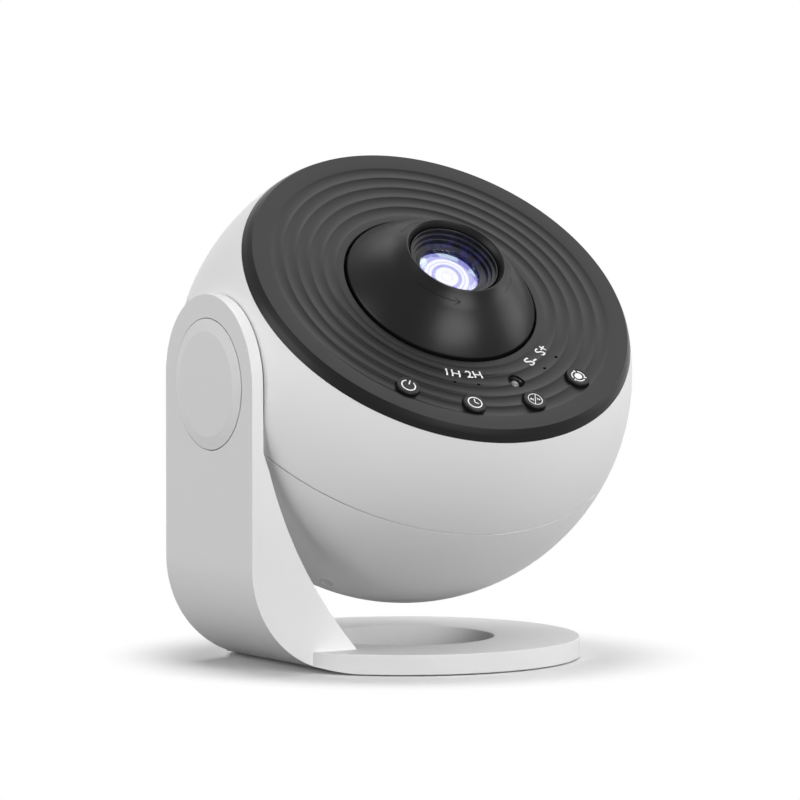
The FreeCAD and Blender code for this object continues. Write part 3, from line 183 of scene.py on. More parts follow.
def soften(bm, width, angle):
    """Small round along every edge that turns by more than the angle."""
    limit = math.radians(angle)
    sharp = [e for e in bm.edges if len(e.link_faces) == 2 and e.calc_face_angle(0) > limit]
    round_edges(bm, sharp, width, 2)


def round_edges(bm, edges, width, segments):
    bmesh.ops.bevel(
        bm, geom=edges, affect="EDGES", offset=width, offset_type="OFFSET", segments=segments,
        profile=0.5, material=-1, clamp_overlap=True, loop_slide=True,
    )


def slab(low, high):
    """Box between two corners."""
    bm = bmesh.new()
    size = [h - l for l, h in zip(low, high)]
    middle = [(h + l) / 2 for l, h in zip(low, high)]
    place = Matrix.Translation(middle) @ Matrix.Diagonal((*size, 1))
    bmesh.ops.create_cube(bm, size=1.0, matrix=place)
    return bm


def rod(radius, low, high, at=(0, 0), segments=64):
    bm = bmesh.new()
    place = Matrix.Translation((at[0], at[1], (low + high) / 2))
    bmesh.ops.create_cone(
        bm, cap_ends=True, segments=segments, radius1=radius, radius2=radius, depth=high - low,
        matrix=place,
    )
    return bm


def band(inner, outer, low, high, start=0.0, sweep=360.0, steps=48):
    """Flat ring, or a part of one when the sweep is less than a full turn."""
    section = ((inner, low), (outer, low), (outer, high), (inner, high))
    if sweep >= 360:
        return lathe(section, steps)
    bm = bmesh.new()
    corners = [bm.verts.new((r, 0, z)) for r, z in section]
    face = bm.faces.new(corners)
    bmesh.ops.spin(
        bm, geom=[face] + list(face.edges) + corners, cent=(0, 0, 0), axis=(0, 0, 1),
        angle=math.radians(sweep), steps=steps, use_merge=False,
    )
    turn(bm, start)
    tidy(bm)
    return bm


def turn(bm, degrees, axis="Z"):
    matrix = Matrix.Rotation(math.radians(degrees), 3, axis)
    bmesh.ops.rotate(bm, cent=(0, 0, 0), matrix=matrix, verts=bm.verts)


def shift(bm, x=0.0, y=0.0, z=0.0):
    bmesh.ops.translate(bm, vec=(x, y, z), verts=bm.verts)


def polar(radius, degrees):
    a = math.radians(degrees)
    return radius * math.cos(a), radius * math.sin(a)


def joined(parts):
    """One bmesh out of several separate closed shapes."""
    whole = bmesh.new()
    for part in parts:
        mesh = bpy.data.meshes.new("part")
        part.to_mesh(mesh)
        part.free()
        whole.from_mesh(mesh)
        bpy.data.meshes.remove(mesh)
    return whole


def raw_object(bm, name):
    mesh = bpy.data.meshes.new(name)
    bm.to_mesh(mesh)
    bm.free()
    shape = bpy.data.objects.new(name, mesh)
    bpy.context.scene.collection.objects.link(shape)
    return shape


def carved(bm, cutters, operation="DIFFERENCE", crossing=False):
    """The shape with others cut out of it or joined to it; crossing cutters run into themselves."""
    body = raw_object(bm, "body")
    for cutter in cutters:
        tool = raw_object(cutter, "tool")
        step = body.modifiers.new("step", "BOOLEAN")
        step.operation = operation
        step.solver = "EXACT"
        step.use_self = crossing
        step.object = tool
        seen = bpy.context.evaluated_depsgraph_get()
        made = bpy.data.meshes.new_from_object(body.evaluated_get(seen))
        body.modifiers.clear()
        old = body.data
        body.data = made
        bpy.data.meshes.remove(old)
        bpy.data.objects.remove(tool)
    result = bmesh.new()
    result.from_mesh(body.data)
    bpy.data.objects.remove(body)
    bmesh.ops.remove_doubles(result, verts=result.verts, dist=MERGE)
    return result


def piece(bm, name, material, body, replaces=(), place=HEAD, sharp=30.0, weighted=False):
    """Finished piece: put in place, shaded smooth up to the sharp angle, riding on its body."""
    for face in bm.faces:
        face.smooth = True
    bmesh.ops.transform(bm, matrix=place, verts=bm.verts)
    made = raw_object(bm, name)
    made.data.set_sharp_from_angle(angle=math.radians(sharp))
    made.data.materials.clear()
    made.data.materials.append(material)
    if weighted:
        even = made.modifiers.new("even_shading", "WEIGHTED_NORMAL")
        even.keep_sharp = True
        even.weight = SHADING_WEIGHT
    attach(made, body)
    if replaces:
        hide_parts(*replaces)


# ---------------------------------------------------------------- finishes
def skin_group(name, detail, outputs):
    """Empty shader node group with a vector and one more number as inputs, and number outputs."""
    tree = bpy.data.node_groups.new(name, "ShaderNodeTree")
    tree.interface.new_socket("Vector", in_out="INPUT", socket_type="NodeSocketVector")
    for label, side in [(detail, "INPUT")] + [(label, "OUTPUT") for label in outputs]:
        tree.interface.new_socket(label, in_out=side, socket_type="NodeSocketFloat")
    return tree, tree.nodes.new("NodeGroupInput"), tree.nodes.new("NodeGroupOutput")


def noise(tree, vector, scale, detail, roughness):
    node = tree.nodes.new("ShaderNodeTexNoise")
    node.inputs["Detail"].default_value = detail
    node.inputs["Roughness"].default_value = roughness
    tree.links.new(vector, node.inputs["Vector"])
    if isinstance(scale, (int, float)):
        node.inputs["Scale"].default_value = scale
    else:
        tree.links.new(scale, node.inputs["Scale"])
    return node.outputs["Fac"]


def math_node(tree, operation, *values, clamp=False):
    """Result of a sum, product or quotient of numbers and sockets."""
    node = tree.nodes.new("ShaderNodeMath")
    node.operation = operation
    node.use_clamp = clamp
    for socket, value in zip(node.inputs, values):
        if isinstance(value, (int, float)):
            socket.default_value = value
        else:
            tree.links.new(value, socket)
    return node.outputs[0]


def ranged(tree, value, low, high, to_low, to_high, smooth=False):
    node = tree.nodes.new("ShaderNodeMapRange")
    node.interpolation_type = "SMOOTHSTEP" if smooth else "LINEAR"
    node.inputs["From Min"].default_value = low
    node.inputs["From Max"].default_value = high
    node.inputs["To Min"].default_value = to_low
    node.inputs["To Max"].default_value = to_high
    tree.links.new(value, node.inputs["Value"])
    return node.outputs["Result"]


def blended(tree, factor, a, b):
    """Colour between a and b, each a colour tuple or a socket."""
    node = tree.nodes.new("ShaderNodeMix")
    node.data_type = "RGBA"
    tree.links.new(factor, node.inputs["Factor"])
    for socket, value in ((node.inputs["A"], a), (node.inputs["B"], b)):
        if isinstance(value, (tuple, list)):
            socket.default_value = (*value, 1.0)
        else:
            tree.links.new(value, socket)
    return node.outputs["Result"]


def make_moulded():
    """Moulded skin: fine spark grain, slow waves of gloss and faint handling marks."""
    tree, given, out = skin_group("moulded_skin", "Grain", ["Height", "Cloud", "Marks"])
    vector = given.outputs["Vector"]
    grain = noise(tree, vector, given.outputs["Grain"], 2.0, 0.6)
    cloud = noise(tree, vector, 28.0, 3.0, 0.5)
    smear = noise(tree, vector, 95.0, 4.0, 0.7)
    marks = math_node(tree, "MULTIPLY", ranged(tree, smear, 0.5, 0.72, 0, 1, True), cloud, clamp=True)
    tree.links.new(grain, out.inputs["Height"])
    tree.links.new(cloud, out.inputs["Cloud"])
    tree.links.new(marks, out.inputs["Marks"])
    return tree


def make_brushed():
    """Turned or drawn metal: fine lines along one direction and small dull spots."""
    tree, given, out = skin_group("drawn_metal", "Fineness", ["Height", "Spots"])
    stretch = tree.nodes.new("ShaderNodeMapping")
    stretch.inputs["Scale"].default_value = (1.0, 1.0, 0.06)
    tree.links.new(given.outputs["Vector"], stretch.inputs["Vector"])
    lines = noise(tree, stretch.outputs["Vector"], given.outputs["Fineness"], 2.0, 0.5)
    blotches = noise(tree, given.outputs["Vector"], 420.0, 4.0, 0.65)
    spots = ranged(tree, blotches, 0.45, 0.7, 0, 1, True)
    tree.links.new(lines, out.inputs["Height"])
    tree.links.new(spots, out.inputs["Spots"])
    return tree


MOULDED = make_moulded()
DRAWN = make_brushed()
GLOSS_WAVE = 0.03
METAL_FINENESS = 2600.0
METAL_DEPTH = 0.000006
METAL_DULL = 0.16
METAL_SPOT_TONE = 0.82
GLASS_GRAIN = 900.0
GLASS_ROUGHNESS = 0.02


def bare_material(name):
    material = bpy.data.materials.new(name)
    material.use_nodes = True
    tree = material.node_tree
    shader = tree.nodes["Principled BSDF"]
    place = tree.nodes.new("ShaderNodeTexCoord")
    return material, tree, shader, place.outputs["Object"]


def add_skin(tree, skin, detail, amount, vector):
    """Outputs of a skin's node group, laid over the given place."""
    node = tree.nodes.new("ShaderNodeGroup")
    node.node_tree = skin
    node.inputs[detail].default_value = amount
    tree.links.new(vector, node.inputs["Vector"])
    return node.outputs


def add_bump(tree, shader, height, depth):
    bump = tree.nodes.new("ShaderNodeBump")
    bump.inputs["Strength"].default_value = 1.0
    bump.inputs["Distance"].default_value = depth
    tree.links.new(height, bump.inputs["Height"])
    tree.links.new(bump.outputs["Normal"], shader.inputs["Normal"])


def set_plain(shader, values):
    for label, value in values.items():
        shader.inputs[label].default_value = value


def plastic(name, colour, roughness, grain=3200.0, depth=0.00001, spread=0.04, marks=0.08, **plain):
    """Moulded plastic or rubber with grain, gloss waves and faint marks."""
    material, tree, shader, vector = bare_material(name)
    skin = add_skin(tree, MOULDED, "Grain", grain, vector)
    dark = tuple(c * (1 - spread) for c in colour)
    light = tuple(min(1.0, c * (1 + spread)) for c in colour)
    tree.links.new(blended(tree, skin["Cloud"], dark, light), shader.inputs["Base Color"])
    waves = ranged(tree, skin["Cloud"], 0.3, 0.7, roughness - GLOSS_WAVE, roughness + GLOSS_WAVE)
    worn = math_node(tree, "MULTIPLY_ADD", skin["Marks"], marks, waves)
    tree.links.new(worn, shader.inputs["Roughness"])
    add_bump(tree, shader, skin["Height"], depth)
    set_plain(shader, {label.replace("_", " "): value for label, value in plain.items()})
    return material


def metal(name, colour, roughness):
    """Bare metal with drawn lines and dull, darker spots."""
    material, tree, shader, vector = bare_material(name)
    skin = add_skin(tree, DRAWN, "Fineness", METAL_FINENESS, vector)
    dark = tuple(c * METAL_SPOT_TONE for c in colour)
    tree.links.new(blended(tree, skin["Spots"], colour, dark), shader.inputs["Base Color"])
    dull = ranged(tree, skin["Spots"], 0, 1, roughness, roughness + METAL_DULL)
    tree.links.new(dull, shader.inputs["Roughness"])
    shader.inputs["Metallic"].default_value = 1.0
    add_bump(tree, shader, skin["Height"], METAL_DEPTH)
    return material


def clear(name, colour):
    """Clear glass or plastic with a faint bloom of dust."""
    material, tree, shader, vector = bare_material(name)
    skin = add_skin(tree, MOULDED, "Grain", GLASS_GRAIN, vector)
    bloom = ranged(tree, skin["Marks"], 0, 1, GLASS_ROUGHNESS, GLASS_ROUGHNESS + 0.06)
    tree.links.new(bloom, shader.inputs["Roughness"])
    edge = tuple(c * 0.97 for c in colour)
    tree.links.new(blended(tree, skin["Cloud"], edge, colour), shader.inputs["Base Color"])
    set_plain(shader, {"Transmission Weight": 1.0, "IOR": 1.5, "Specular IOR Level": 0.12})
    return material


def head_radius(tree, vector):
    """Distance from the optical axis and place in the head, in millimetres, for round patterns."""
    place = tree.nodes.new("ShaderNodeMapping")
    place.vector_type = "TEXTURE"
    place.inputs["Location"].default_value = (0, 0, PIVOT)
    place.inputs["Rotation"].default_value = (LEAN, 0, 0)
    place.inputs["Scale"].default_value = (0.001, 0.001, 0.001)
    tree.links.new(vector, place.inputs["Vector"])
    flat = tree.nodes.new("ShaderNodeVectorMath")
    flat.operation = "MULTIPLY"
    flat.inputs[1].default_value = (1, 1, 0)
    tree.links.new(place.outputs["Vector"], flat.inputs[0])
    length = tree.nodes.new("ShaderNodeVectorMath")
    length.operation = "LENGTH"
    tree.links.new(flat.outputs["Vector"], length.inputs[0])
    return length.outputs["Value"], place.outputs["Vector"]


RAMP_REACH = 10.0


def make_lit_core():
    """Painted glow behind the front lens for the lit optics: white with a pale and three violet rings,
    violet border.
    """
    material, tree, shader, vector = bare_material("lit_core")
    radius, place = head_radius(tree, vector)
    ramp = tree.nodes.new("ShaderNodeValToRGB")
    white, violet, pale = (0.86, 0.86, 0.98), (0.21, 0.21, 0.74), (0.52, 0.52, 0.88)
    border = (0.19, 0.20, 0.72)
    stops = (
        (0.0, white), (1.3, white), (1.45, pale), (1.6, white), (3.0, white), (3.2, violet),
        (4.0, violet), (4.2, white), (4.8, white), (4.95, violet), (5.1, white), (5.9, white),
        (6.2, violet), (9.6, border),
    )
    bar = ramp.color_ramp
    bar.elements[0].color = (*white, 1.0)
    bar.elements[1].color = (*border, 1.0)
    for at, colour in stops[1:-1]:
        bar.elements.new(at / RAMP_REACH).color = (*colour, 1.0)
    tree.links.new(math_node(tree, "DIVIDE", radius, RAMP_REACH), ramp.inputs["Fac"])
    # Painted glare: pale blue patches laid over the glow in its outer part.
    patches = noise(tree, place, 0.22, 1.0, 0.4)
    outside = ranged(tree, radius, 6.0, 6.5, 0, 1, True)
    glare = math_node(tree, "MULTIPLY", ranged(tree, patches, 0.5, 0.56, 0, 1, True), outside)
    lit = blended(tree, glare, ramp.outputs["Color"], (0.60, 0.76, 1.0))
    tree.links.new(lit, shader.inputs["Emission Color"])
    unlit = blended(tree, outside, (0.03, 0.03, 0.04), (0.02, 0.02, 0.04))
    tree.links.new(unlit, shader.inputs["Base Color"])
    set_plain(shader, {"Emission Strength": 0.78, "Roughness": 0.6, "Specular IOR Level": 0.0})
    return material


def black_with_painted_glow(name):
    """Black barrel skin with a faint blue painted glow from the lens, most on the side away from the
    arm.
    """
    material = plastic(name, (0.008, 0.008, 0.010), 0.4, Specular_IOR_Level=0.25)
    tree = material.node_tree
    shader = tree.nodes["Principled BSDF"]
    vector = next(n for n in tree.nodes if n.bl_idname == "ShaderNodeTexCoord").outputs["Object"]
    radius, place = head_radius(tree, vector)
    across = tree.nodes.new("ShaderNodeSeparateXYZ")
    tree.links.new(place, across.inputs[0])
    away = math_node(tree, "ADD", across.outputs["X"], across.outputs["Y"])
    side = ranged(tree, away, -4, 14, 0, 1, True)
    # Painted glow: emission fades out away from the lens and is strongest on the side away from the
    # arm.
    near = math_node(tree, "MULTIPLY", ranged(tree, radius, 9.0, 12.6, 1, 0.1, True), side)
    cloud = ranged(tree, noise(tree, place, 0.5, 2.0, 0.5), 0.42, 0.62, 0.1, 1, True)
    tree.links.new(math_node(tree, "MULTIPLY", near, cloud), shader.inputs["Emission Strength"])
    shader.inputs["Emission Color"].default_value = (0.012, 0.011, 0.085, 1.0)
    return material


WHITE = plastic(
    "white_moulding", (0.80, 0.80, 0.80), 0.48, depth=0.000006, spread=0.008, marks=0.04,
)
WHITE_STAND = plastic(
    "white_stand_moulding", (0.80, 0.80, 0.80), 0.5, depth=0.000008, spread=0.008, marks=0.05,
)
BLACK_PLATE = plastic(
    "black_plate_skin", (0.009, 0.009, 0.0095), 0.32, spread=0.06, Specular_IOR_Level=0.14,
)
BLACK_CONE = plastic(
    "black_cone_skin", (0.005, 0.005, 0.0055), 0.33, depth=0.000006, Specular_IOR_Level=0.18,
)
BLACK_BUTTON = plastic("black_button_skin", (0.008, 0.008, 0.0085), 0.4, Specular_IOR_Level=0.15)
BLACK_INSIDE = plastic("black_inside_skin", (0.03, 0.03, 0.03), 0.55, depth=0.00002)
GREY_AXLE = plastic("grey_axle_skin", (0.16, 0.16, 0.17), 0.5, depth=0.00002)
IVORY = plastic("ivory_gear_skin", (0.72, 0.70, 0.63), 0.45)
RUBBER = plastic(
    "foot_rubber_skin", (0.03, 0.03, 0.032), 0.78, grain=1800, depth=0.00003, spread=0.1,
)
JACKET = plastic("cable_jacket_skin", (0.03, 0.03, 0.03), 0.6)
MARK = plastic("mark_ink", (0.86, 0.86, 0.86), 0.55, grain=5200, depth=0.000004, spread=0.03)
CHIP_BLACK = plastic("chip_black_skin", (0.02, 0.02, 0.022), 0.5)
CHIP_WHITE = plastic("chip_white_skin", (0.75, 0.75, 0.70), 0.4)
GUIDE = plastic(
    "light_guide_skin", (0.004, 0.004, 0.005), 0.3, depth=0.000004, Specular_IOR_Level=0.1,
)
BOARD = plastic("board_lacquer", (0.02, 0.14, 0.06), 0.3, grain=700, depth=0.00003, spread=0.25)
LAMP_BOARD = plastic("lamp_board_lacquer", (0.74, 0.74, 0.74), 0.35, grain=800)
STEEL = metal("zinc_steel", (0.55, 0.56, 0.58), 0.3)
ALUMINIUM = metal("extruded_aluminium", (0.66, 0.67, 0.69), 0.34)
NICKEL = metal("nickel_shell", (0.62, 0.60, 0.57), 0.22)
BLACK_BARREL_PAINTED_GLOW = black_with_painted_glow("black_barrel_painted_glow")
LENS = clear("lens_glass_clear", (0.97, 0.98, 1.0))
EYE = plastic(
    "eye_filter_skin", (0.006, 0.006, 0.007), 0.25, depth=0.000002, Specular_IOR_Level=0.6,
)
EYE_LENS = plastic("eye_lens_skin", (0.20, 0.20, 0.21), 0.3, depth=0.000002)
LAMP = plastic("lamp_phosphor", (0.80, 0.62, 0.10), 0.25, depth=0.000004)
LIT = make_lit_core()

CAD_FINISH = {
    "foot_pad": RUBBER, "pivot_axle": GREY_AXLE, "friction_washer": IVORY, "film_carrier": IVORY,
    "drive_pinion": IVORY, "wiring": JACKET, "control_board": BOARD, "power_board": BOARD,
    "lamp_board": LAMP_BOARD, "heat_sink": ALUMINIUM, "lamp": LAMP, "power_inlet": NICKEL,
    "light_pipes": GUIDE, "indicator_lamps": CHIP_WHITE, "button_switches": CHIP_BLACK,
    "remote_eye": CHIP_BLACK, "rear_lens": LENS, "condenser_lens": LENS, "star_disc": CHIP_BLACK,
    "lens_well": BLACK_INSIDE, "optics_frame": BLACK_INSIDE, "condenser_clip": BLACK_INSIDE,
    "lens_mount": BLACK_INSIDE, "lens_spacer": BLACK_BARREL_PAINTED_GLOW, "lens_retainer": BLACK_BARREL_PAINTED_GLOW,
}


def dress_cad():
    """Finish of every node that no piece below replaces: fasteners and shafts are steel."""
    for name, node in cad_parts.items():
        finish = CAD_FINISH.get(name, STEEL)
        node.data.materials.clear()
        node.data.materials.append(finish)


# ---------------------------------------------------------------- stage
# Camera: a long lens from far away. DOT is one dot of the render in metres at the ball, and the
# ball's centre lies some dots to the right of the middle and above it.
FOCAL_LENGTH = 576.0
SENSOR_WIDTH = 36.0
FAR_CLIP = 50.0
CAMERA_AZIMUTH = -30.5
CAMERA_RISE = 5.28
DOT = 0.0002838
CAMERA_AWAY = 12800
BALL_RIGHT = 3.2
BALL_UP = 26.1

# Soft round lamp panels that look at the ball: azimuth, rise, size and power of each.
PANEL_AWAY = 2.4
PANELS = (
    ("front_panel", 5, 10, 1.6, 54),
    ("low_right_panel", 76, 13, 1.4, 14),
    ("left_panel", -99, 9, 2.0, 48),
    ("right_panel", 98, 60, 2.2, 24),
    ("back_panel", 180, 66, 1.6, 16),
)
FLOOR_RADIUS = 14.0
SHADOW_REACH = (0.056, 0.088)
FLOOR_TONES = (0.05, 0.94)
WORLD_LIGHT = 0.02
PLAIN_WHITE = 1.0


def heading(azimuth, rise):
    """Direction from the ball to a camera or lamp, from angles in degrees."""
    a, e = math.radians(azimuth), math.radians(rise)
    return Vector((math.sin(a) * math.cos(e), -math.cos(a) * math.cos(e), math.sin(e)))


def add_camera():
    data = bpy.data.cameras.new("camera")
    camera = bpy.data.objects.new("camera", data)
    bpy.context.scene.collection.objects.link(camera)
    data.lens = FOCAL_LENGTH
    data.sensor_width = SENSOR_WIDTH
    data.clip_end = FAR_CLIP
    toward = heading(CAMERA_AZIMUTH, CAMERA_RISE)
    azimuth = math.radians(CAMERA_AZIMUTH)
    right = Vector((math.cos(azimuth), math.sin(azimuth), 0))
    up = toward.cross(right)
    aim = Vector((0, 0, PIVOT)) - right * BALL_RIGHT * DOT - up * BALL_UP * DOT
    turned = Matrix((right, up, toward)).transposed().to_4x4()
    camera.matrix_world = Matrix.Translation(aim + toward * CAMERA_AWAY * DOT) @ turned
    bpy.context.scene.camera = camera


def add_panels():
    for name, azimuth, rise, size, power in PANELS:
        data = bpy.data.lights.new(name, "AREA")
        data.shape = "DISK"
        data.size = size
        data.energy = power
        lamp = bpy.data.objects.new(name, data)
        bpy.context.scene.collection.objects.link(lamp)
        toward = heading(azimuth, rise)
        turned = toward.to_track_quat("Z", "Y").to_matrix().to_4x4()
        lamp.matrix_world = Matrix.Translation(Vector((0, 0, PIVOT)) + toward * PANEL_AWAY) @ turned


def background_mask(tree):
    """One for rays that may see the plain white background."""
    path = tree.nodes.new("ShaderNodeLightPath")
    seen = path.outputs["Is Camera Ray"]
    for kind in ("Is Glossy Ray", "Is Transmission Ray"):
        seen = math_node(tree, "ADD", seen, path.outputs[kind], clamp=True)
    return seen


def mix_shaders(tree, factor, a, b):
    mix = tree.nodes.new("ShaderNodeMixShader")
    tree.links.new(factor, mix.inputs["Fac"])
    tree.links.new(a, mix.inputs[1])
    tree.links.new(b, mix.inputs[2])
    return mix.outputs[0]


def white_glow(tree, strength, kind="ShaderNodeEmission"):
    node = tree.nodes.new(kind)
    node.inputs["Color"].default_value = (1, 1, 1, 1)
    node.inputs["Strength"].default_value = strength
    return node.outputs[0]


def add_world():
    world = bpy.data.worlds.new("studio")
    bpy.context.scene.world = world
    world.use_nodes = True
    tree = world.node_tree
    tree.nodes.clear()
    dim = white_glow(tree, WORLD_LIGHT, "ShaderNodeBackground")
    seen = white_glow(tree, PLAIN_WHITE, "ShaderNodeBackground")
    out = tree.nodes.new("ShaderNodeOutputWorld")
    tree.links.new(mix_shaders(tree, background_mask(tree), dim, seen), out.inputs["Surface"])


def add_floor():
    """Pale floor that keeps the shadow near the base and is plain white farther out."""
    bm = bmesh.new()
    bmesh.ops.create_circle(bm, cap_ends=True, segments=96, radius=FLOOR_RADIUS)
    floor = raw_object(bm, "floor")
    material = bpy.data.materials.new("pale_floor")
    material.use_nodes = True
    tree = material.node_tree
    tree.nodes.clear()
    place = tree.nodes.new("ShaderNodeTexCoord")
    length = tree.nodes.new("ShaderNodeVectorMath")
    length.operation = "LENGTH"
    tree.links.new(place.outputs["Object"], length.inputs[0])
    far = ranged(tree, length.outputs["Value"], *SHADOW_REACH, 0, 1, True)
    tones = []
    for tone in FLOOR_TONES:
        plain = tree.nodes.new("ShaderNodeBsdfDiffuse")
        plain.inputs["Color"].default_value = (tone, tone, tone, 1)
        tones.append(plain.outputs[0])
    seen = mix_shaders(tree, far, tones[1], white_glow(tree, PLAIN_WHITE))
    out = tree.nodes.new("ShaderNodeOutputMaterial")
    tree.links.new(mix_shaders(tree, background_mask(tree), tones[0], seen), out.inputs["Surface"])
    floor.data.materials.append(material)


# ---------------------------------------------------------------- ball shells
def ball_solid(radius, low, high, flat, steps=256, rings=40):
    """Slice of a ball between two heights, cut flat on the arm's side."""
    first = math.asin(max(-1.0, low / radius))
    last = math.asin(min(1.0, high / radius))
    profile = [(0.0, low)] if low > -radius else []
    for i in range(rings + 1):
        a = first + (last - first) * i / rings
        profile.append((radius * math.cos(a), radius * math.sin(a)))
    if high < radius:
        profile.append((0.0, high))
    bm = lathe(profile, steps, closed=False)
    cut = bmesh.ops.bisect_plane(
        bm, geom=everything(bm), dist=SLIVER, plane_co=(-flat, 0, 0), plane_no=(-1, 0, 0),
        clear_outer=True,
    )
    rim = [e for e in cut["geom_cut"] if isinstance(e, bmesh.types.BMEdge)]
    bmesh.ops.holes_fill(bm, edges=rim, sides=0)
    tidy(bm)
    return bm


def axle_bore():
    """Cutter for the pivot axle, through the ball's flat side."""
    bore = rod(AXLE_BORE, -70, -50, segments=96)
    turn(bore, 90, "Y")
    return bore


def make_upper_shell():
    outer = ball_solid(BALL, SEAM, PLATE_SEAT, FLAT)
    soften(outer, SEAM_ROUND, 24)
    inner = ball_solid(BALL - WALL, -4, PLATE_SEAT - 2.5, FLAT - FLAT_WALL, 128, 16)
    mouth = rod(MOUTH, PLATE_SEAT - 4, PLATE_SEAT + 3, segments=192)
    shell = carved(outer, [inner, mouth, axle_bore()])
    piece(shell, "ball_upper", WHITE, "head", ["upper_shell"], weighted=True)


def make_lower_shell():
    """Lower shell with its four screw posts inside and the inlet's opening at the back."""
    outer = ball_solid(BALL, -BALL, -SEAM, FLAT, 256, 72)
    soften(outer, SEAM_ROUND, 24)
    inner = ball_solid(BALL - WALL, WALL - BALL, 4, FLAT - FLAT_WALL, 128, 32)
    posts = [rod(POST_RADIUS, POST_LOW, 6, at, 48) for at in SHELL_POSTS]
    inner = carved(inner, [joined(posts)])
    recesses = [rod(RECESS_RADIUS, POST_LOW, RECESS_END, at, 48) for at in SHELL_POSTS]
    inlet = [inlet_bar(*step) for step in INLET_STEPS]
    shell = carved(outer, [inner, axle_bore(), joined(recesses), *inlet])
    piece(shell, "ball_lower", WHITE, "head", ["lower_shell"], weighted=True)


def inlet_bar(width, height, near):
    """Bar with round ends along Y at the inlet's height."""
    bm = slab(
        (-width / 2, near, INLET_AT - height / 2), (width / 2, INLET_FAR, INLET_AT + height / 2),
    )
    along = [e for e in bm.edges if abs(e.verts[0].co.y - e.verts[1].co.y) > 1]
    bmesh.ops.bevel(
        bm, geom=along, affect="EDGES", offset=height / 2 - 0.01, segments=8, profile=0.5, material=-1,
    )
    return bm


# ---------------------------------------------------------------- face plate
def plate_profile():
    """Section of the plate: its opening, the ripples, a flat border and a rim on the ball's curve."""
    points = [
        (PLATE_HOLE, PLATE_UNDER), (PLATE_HOLE, PLATE_TOP - 0.3), (28.85, PLATE_TOP),
        (RIPPLE_START, PLATE_TOP),
    ]
    for i in range(RIPPLES):
        crest = RIPPLE_START + RIPPLE_PITCH * i
        hollow = (crest + RIPPLE_PITCH / 2, PLATE_TOP - RIPPLE)
        points += arc_points((crest, PLATE_TOP), hollow, (crest + RIPPLE_PITCH, PLATE_TOP), 10)
    points += [(53.4, PLATE_TOP), (56.0, PLATE_TOP)]
    for i in range(5):
        r = PLATE_RIM + PLATE_RIM_WIDTH * i / 4
        points.append((r, math.sqrt(BALL**2 - r**2)))
    points += [(PLATE_LAP, PLATE_SEAT), (PLATE_LAP, PLATE_UNDER)]
    return points


def sunk_hole(radius, at, lead=0.15):
    """Cutter for a hole with a small lead-in at the plate's face."""
    neck = PLATE_TOP - 0.25
    bm = lathe([
        (0, HOLES_FROM), (radius, HOLES_FROM), (radius, neck), (radius + lead, neck + lead),
        (radius + lead, PLATE_TOP + 2), (0, PLATE_TOP + 2),
    ], 64, closed=False)
    shift(bm, at[0], at[1])
    return bm


def make_face_plate():
    plate = lathe(plate_profile(), 320)
    soften(plate, 0.09, 24)
    cutters = [sunk_hole(BUTTON_HOLE, polar(BUTTON_RING, angle)) for _, angle in BUTTONS]
    cutters.append(sunk_hole(EYE_HOLE, polar(PILOT_RING, EYE_ANGLE), 0.35))
    cutters += [rod(PINHOLE, HOLES_FROM, 34, polar(PILOT_RING, angle), 24) for angle in PILOTS]
    plate = carved(plate, [joined(cutters)])
    piece(
        plate, "rippled_plate", BLACK_PLATE, "head", ["face_plate"],
        sharp=35, weighted=True,
    )


def plate_height(radius):
    """Height of the plate's rippled face."""
    along = (radius - RIPPLE_START) / RIPPLE_PITCH
    if not 0 < along < RIPPLES:
        return PLATE_TOP
    return PLATE_TOP - RIPPLE * (1 - (2 * (along % 1) - 1) ** 2)


# Marks: name, text, width, height, and the radius and angle of the middle. Each point is laid
# nearer to the axis by DIP_SHIFT times the ripple's depth there, to look even from the front.
LABELS = (
    ("hours_one", "1H", 4.3, 2.75, 34.4, -108.2),
    ("hours_two", "2H", 4.9, 2.75, 34.05, -97.5),
    ("slower", "S-", 3.9, 3.0, 33.7, -60.8),
    ("faster", "S+", 4.1, 3.0, 33.45, -49.4),
)
DIP_SHIFT = 1.03
LAYING_ROUNDS = 6
INK_PROUD = 0.06
INK_SUNK = 0.03
FIRST_CUT = 0.3
STRIPS = (0.3, 0.13)


def flat_text(text, width, height):
    """Characters of a given size about zero, a thin closed shape cut small enough to bend."""
    curve = bpy.data.curves.new("label_curve", "FONT")
    curve.body = text
    curve.extrude = 0.02
    curve.offset = 0.008
    maker = bpy.data.objects.new("label_maker", curve)
    bpy.context.scene.collection.objects.link(maker)
    seen = bpy.context.evaluated_depsgraph_get()
    mesh = bpy.data.meshes.new_from_object(maker.evaluated_get(seen))
    bpy.data.objects.remove(maker)
    bm = bmesh.new()
    bm.from_mesh(mesh)
    bpy.data.meshes.remove(mesh)
    tidy(bm)
    low = [min(v.co[i] for v in bm.verts) for i in range(2)]
    high = [max(v.co[i] for v in bm.verts) for i in range(2)]
    for v in bm.verts:
        v.co.x = (v.co.x - (low[0] + high[0]) / 2) * width / (high[0] - low[0])
        v.co.y = (v.co.y - (low[1] + high[1]) / 2) * height / (high[1] - low[1])
    for axis, span in enumerate((width, height)):
        step = -span / 2 + FIRST_CUT
        while step < span / 2:
            co = Vector((0, 0, 0))
            co[axis] = step
            no = Vector((0, 0, 0))
            no[axis] = 1
            bmesh.ops.bisect_plane(bm, geom=everything(bm), dist=SLIVER, plane_co=co, plane_no=no)
            step += STRIPS[axis]
    return bm


